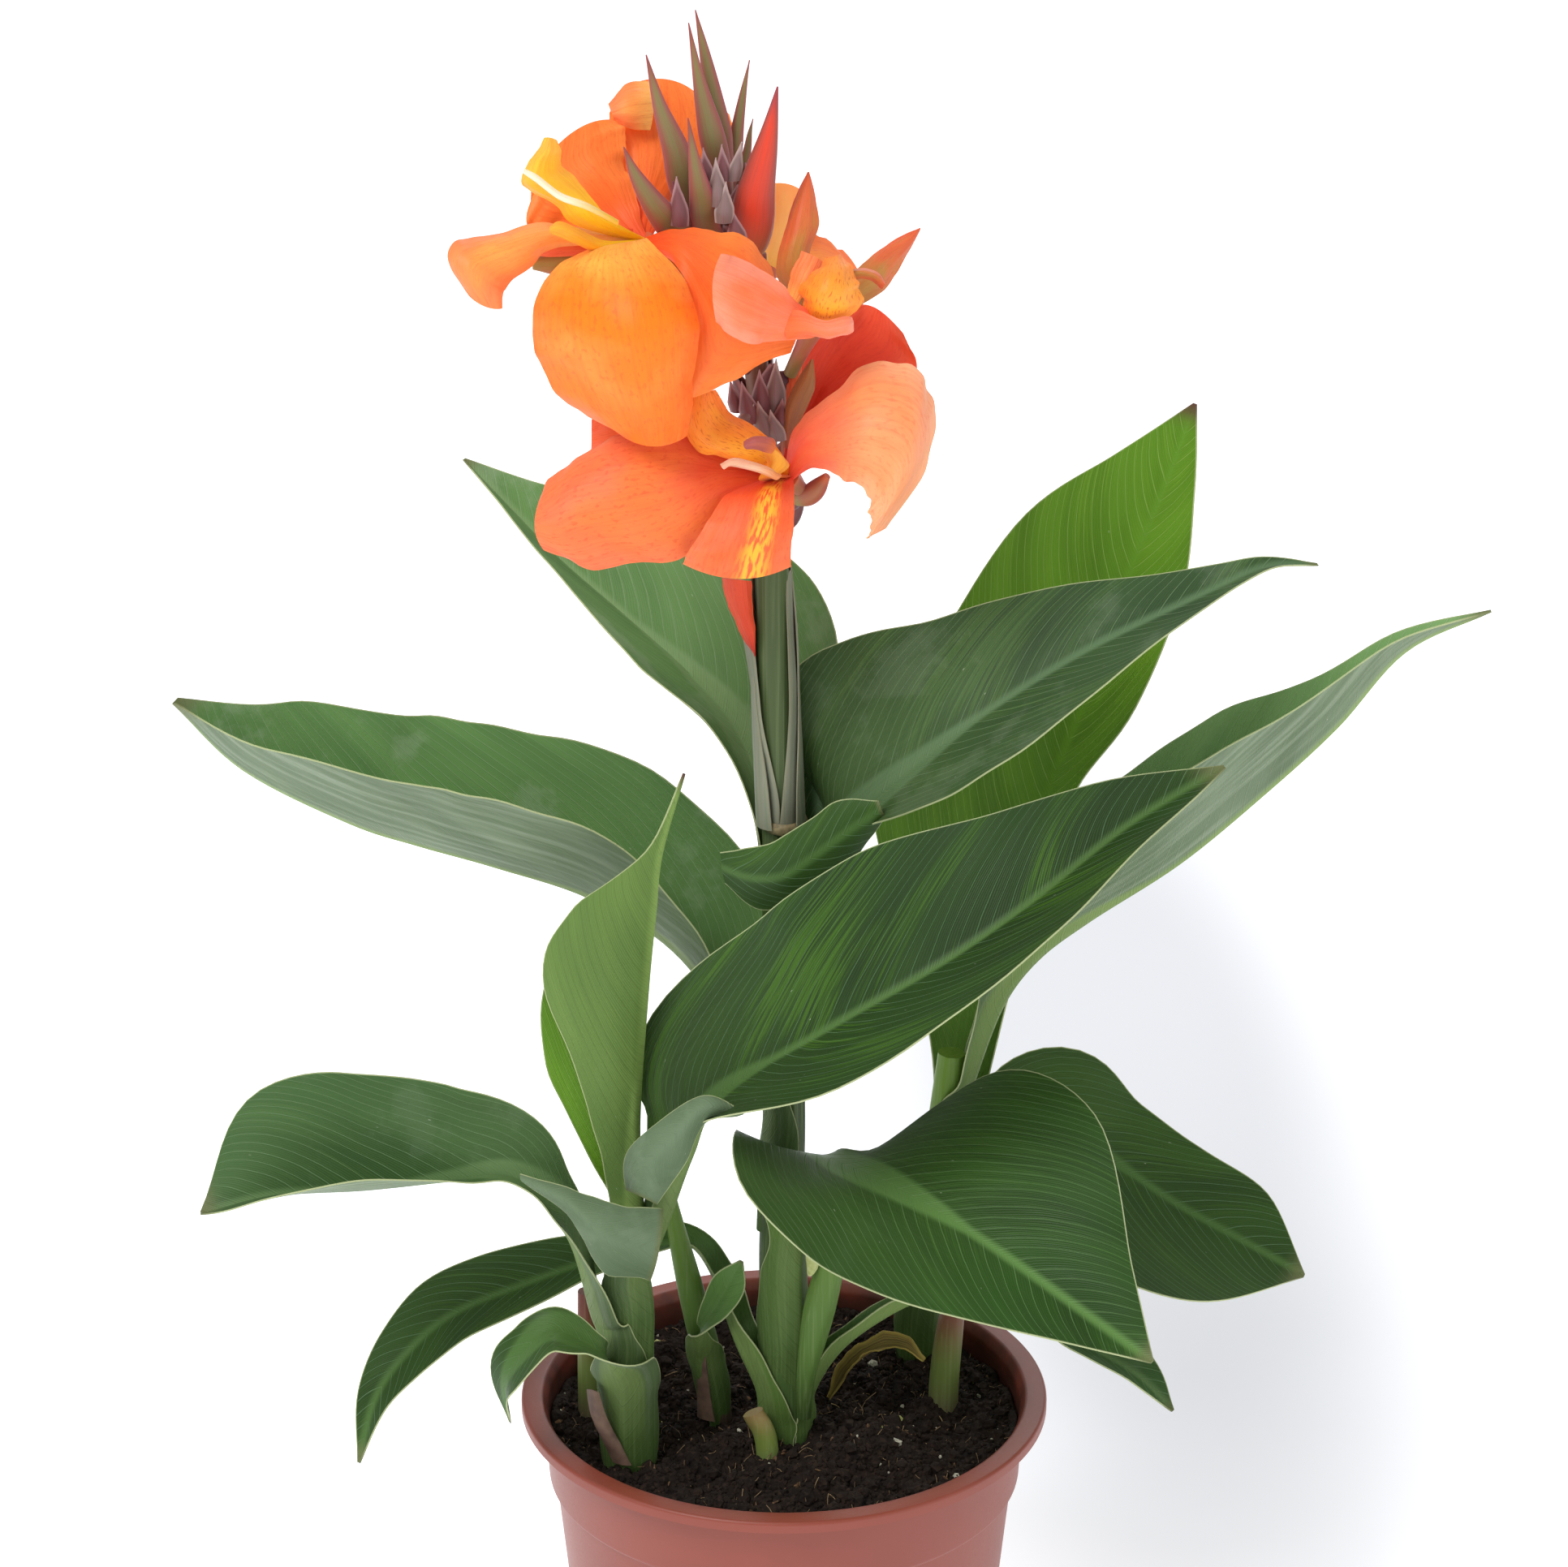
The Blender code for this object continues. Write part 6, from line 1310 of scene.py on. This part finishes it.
bloom("bloom_lower", ((6.8, -21, 491), (4, -27, 495)), (1, -34, 500), (
    ((((-20, -42, 509), (-20, -46, 503), (-16, -48, 497)),
      ((-33, -44, 516), (-33, -55, 502), (-24, -52, 486)),
      ((-46, -44, 517), (-49, -61, 500), (-34, -58, 479)),
      ((-59, -44, 513), (-65, -62, 497), (-49, -62, 479)),
      ((-70, -46, 506), (-73, -62, 493), (-62, -62, 477)),
      ((-76, -50, 500), (-79, -60, 491), (-76, -60, 483))),
     coral_petal, (1.2, 2.5, 0.7)),
    ((((-17, -50, 499), (-7, -52, 500), (3, -46, 498)), ((-24, -58, 491), (-10, -62, 492), (3, -54, 491)),
      ((-30, -62, 483), (-13, -66, 483), (2, -58, 484)), ((-32, -62, 479), (-15, -66, 475), (2, -60, 477))),
     patched_petal, (0.8, 2, 0.1)),
    ((((3, -34, 515), (7, -42, 511), (10, -42, 505)), ((9, -34, 523), (15, -52, 517), (17, -50, 505)),
      ((22, -36, 534), (24, -58, 522), (22, -54, 502)), ((35, -38, 538), (32, -60, 522), (27, -56, 499)),
      ((45, -40, 535), (39, -62, 518), (28, -58, 496)), ((48, -42, 525), (40, -62, 509), (27, -58, 492)),
      ((45, -48, 508), (36, -60, 499), (27, -58, 488)), ((33, -54, 488), (29, -57, 487), (27, -57, 486))),
     pale_coral_petal, (0.9, 2.5, 0.4)),
    ((((-3, -38, 511), (-6, -46, 510), (-10, -44, 506)), ((-9, -40, 517), (-15, -50, 514), (-20, -47, 510)),
      ((-17, -40, 522), (-23, -50, 518), (-27, -47, 512)),
      ((-20, -42, 527), (-26, -49, 523), (-31, -46, 518)),
      ((-22, -44, 531), (-27, -47, 530), (-31, -46, 528))), flecked_petal, (0.5, 2, 0.2)),
    ((((-34, -34, 518), (-33, -36, 513), (-32, -36, 508)),
      ((-52, -32, 523), (-51, -34, 515), (-50, -36, 508)),
      ((-62, -32, 518), (-62, -33, 513), (-62, -34, 508))), coral_petal, (0.8, 2, 0.5)),
    ((((3, -20, 520), (9, -16, 522), (18, -18, 522)), ((5, -18, 534), (17, -10, 535), (33, -16, 527)),
      ((14, -14, 544), (25, -6, 543), (43, -14, 530)), ((23, -10, 548), (29, -4, 549), (39, -8, 541))),
     deep_petal, (0.9, 2, 0.2)),
), (
    net((((-2, -36, 499), (0, -38, 501), (2, -36, 500)), ((-8, -50, 503), (-5, -52, 504.5), (-2, -50, 504)),
         ((-5.5, -52, 509), (-2, -56, 510.5), (1.5, -52, 508)),
         ((-7.5, -54, 514), (-4, -59, 516), (-0.5, -54, 512)),
         ((-12, -56, 518), (-10, -60, 518), (-7, -56, 516))), filament_finish, (0.2, 2, 0), "stamen"),
    loose((((-3, -57, 517), (-3, -59, 516), (-4, -58, 514)), ((-4, -60, 519), (-5, -62, 518), (-6, -60, 515)),
           ((-9, -62, 520), (-9, -64, 519), (-9, -62, 516.5)),
           ((-12.5, -62, 518.5), (-12.5, -62.5, 517.5), (-12, -62, 516.5))),
          stigma_finish, "stigma"),
    loose((((-1, -50, 504.5), (-2, -52, 504), (-3, -50, 503.5)),
           ((-5, -56, 508.5), (-6, -57, 508), (-7, -56, 507)),
           ((-11, -58, 511), (-11, -59, 510), (-12, -58, 509)),
           ((-16, -60, 512.5), (-16, -61, 511.5), (-17, -60, 510.5)),
           ((-20, -60, 510.5), (-19.5, -61, 510), (-19, -60, 509.5))), curl_finish, "curl"),
    loose((((-1, -28, 502), (1, -29, 503), (3, -28, 502)), ((-1, -26, 509), (1, -28, 510), (3, -26, 510)),
           ((0, -26, 520), (3, -29, 521), (7, -26, 520)), ((4, -25, 529), (7, -28, 530), (10, -25, 527)),
           ((8.5, -24, 536), (9, -25, 536.5), (9.5, -24, 536))), mauve_petal, "point"),
    net((((0.5, -6, 516.5), (2.5, -8, 516.5), (4, -6, 515)), ((0.5, -6, 524), (3, -9, 525.5), (6, -6, 526)),
         ((3, -6, 531.5), (4.5, -7, 532.5), (5.5, -6, 533))), coral_petal, (0.2, 2, 0), "behind"),
    loose((((0, -22, 512), (1.5, -23, 513), (3, -22, 512)), ((0, -20, 520), (2, -21, 521), (5, -20, 521)),
           ((1, -18, 527), (3, -19, 528), (6, -18, 528)),
           ((2.6, -16, 534), (4, -16, 534.6), (5.4, -16, 535))),
          coral_petal, "sliver"),
    spindle("ovary", ((4, -22, 489), (9, -26, 492), (14, -30, 499)), (2.4, 3.4, 3.2, 1.2), 0.9, (0, -1, 0.1),
            tube_finish),
))
bloom("bloom_back", ((-9.9, 0.7, 541.2), (-8, 8, 549)), (-6, 15, 557), (
    ((((-11, 22, 566), (-2, 20, 568), (7, 22, 566)), ((-8, 27, 582), (0, 25, 584), (8, 27, 580))),
     pale_yellow_petal, (0.8, 2, 0.3)),
    ((((-20, 34, 566), (-10, 38, 566), (-2, 32, 560)), ((-28, 46, 560), (-16, 52, 558), (-6, 46, 550)),
      ((-24, 50, 548), (-18, 54, 544), (-12, 50, 541))), orange_petal, (1.2, 2, 0.6)),
    ((((4, 30, 566), (12, 28, 558), (14, 22, 549)), ((20, 38, 560), (26, 34, 550), (26, 28, 542))),
     apricot_petal, (1, 2, 0.1)),
))

# Floor, light and camera
# A wide pale studio floor under soft light: one large lamp high on the left in front, weaker ones at the
# right and behind, and a white surround. The camera looks slightly down from the front.

floor_finish, tree, shader = new_finish("white_studio_paper",
                                        {"Base Color": linear("EEF0F5"), "Roughness": 0.9,
                                         "Emission Color": (0.98, 0.99, 1, 1)})
# Painted light and shadow: the floor glows so that it stays white, and the glow fades to almost nothing in a
# soft patch right of and behind the pot, a painted soft shadow of the plant.
place = add(tree, "ShaderNodeTexCoord").outputs["Object"]
shadow_spot = add(tree, "ShaderNodeMapping", {"Location": (-1.4, -1.25, 0), "Scale": (8.0, 2.0, 0)},
          {"Vector": place})
distance = add(tree, "ShaderNodeVectorMath", (), {0: shadow_spot.outputs["Vector"]}, operation="LENGTH")
floor_glow = ramped(tree, distance.outputs["Value"], 0.5, 1.8, 0.01, 0.75, soft=True)
tree.links.new(floor_glow, shader.inputs["Emission Strength"])
sheet_mesh = bpy.data.meshes.new("studio_floor")
sheet_mesh.from_pydata([(-6, -4, 0), (6, -4, 0), (6, 30, 0), (-6, 30, 0)], [], [(0, 1, 2, 3)])
sheet_mesh.materials.append(floor_finish)
studio_floor = placed("studio_floor", sheet_mesh)

world = bpy.data.worlds.new("white_studio")
world.use_nodes = True
world.node_tree.nodes["Background"].inputs["Color"].default_value = (1, 1, 1, 1)
world.node_tree.nodes["Background"].inputs["Strength"].default_value = 0.55
bpy.context.scene.world = world


def lamp(name, place, size, watts):
    """A square soft lamp that faces the middle of the plant."""
    light = bpy.data.lights.new(name, "AREA")
    light.size = size
    light.energy = watts
    fixture = placed(name, light)
    fixture.location = place
    fixture.rotation_euler = (Vector((0, 0, 0.3)) - Vector(place)).to_track_quat("-Z", "Y").to_euler()


lamp("key_lamp", (-0.9, -1.1, 1.9), 0.9, 26)
lamp("fill_lamp", (1.6, -1.0, 1.0), 1.4, 6)
lamp("rear_lamp", (0.4, 1.6, 1.6), 1.2, 9)

lens = bpy.data.cameras.new("camera")
lens.lens = 87.6
lens.sensor_width = 36
lens.clip_end = 60
camera = placed("camera", lens)
camera.location = (0, -1.229, 0.82)
camera.rotation_euler = (math.radians(70.4), 0, 0)
bpy.context.scene.camera = camera
bpy.context.scene.view_settings.view_transform = "Standard"

bpy.context.view_layer.update()
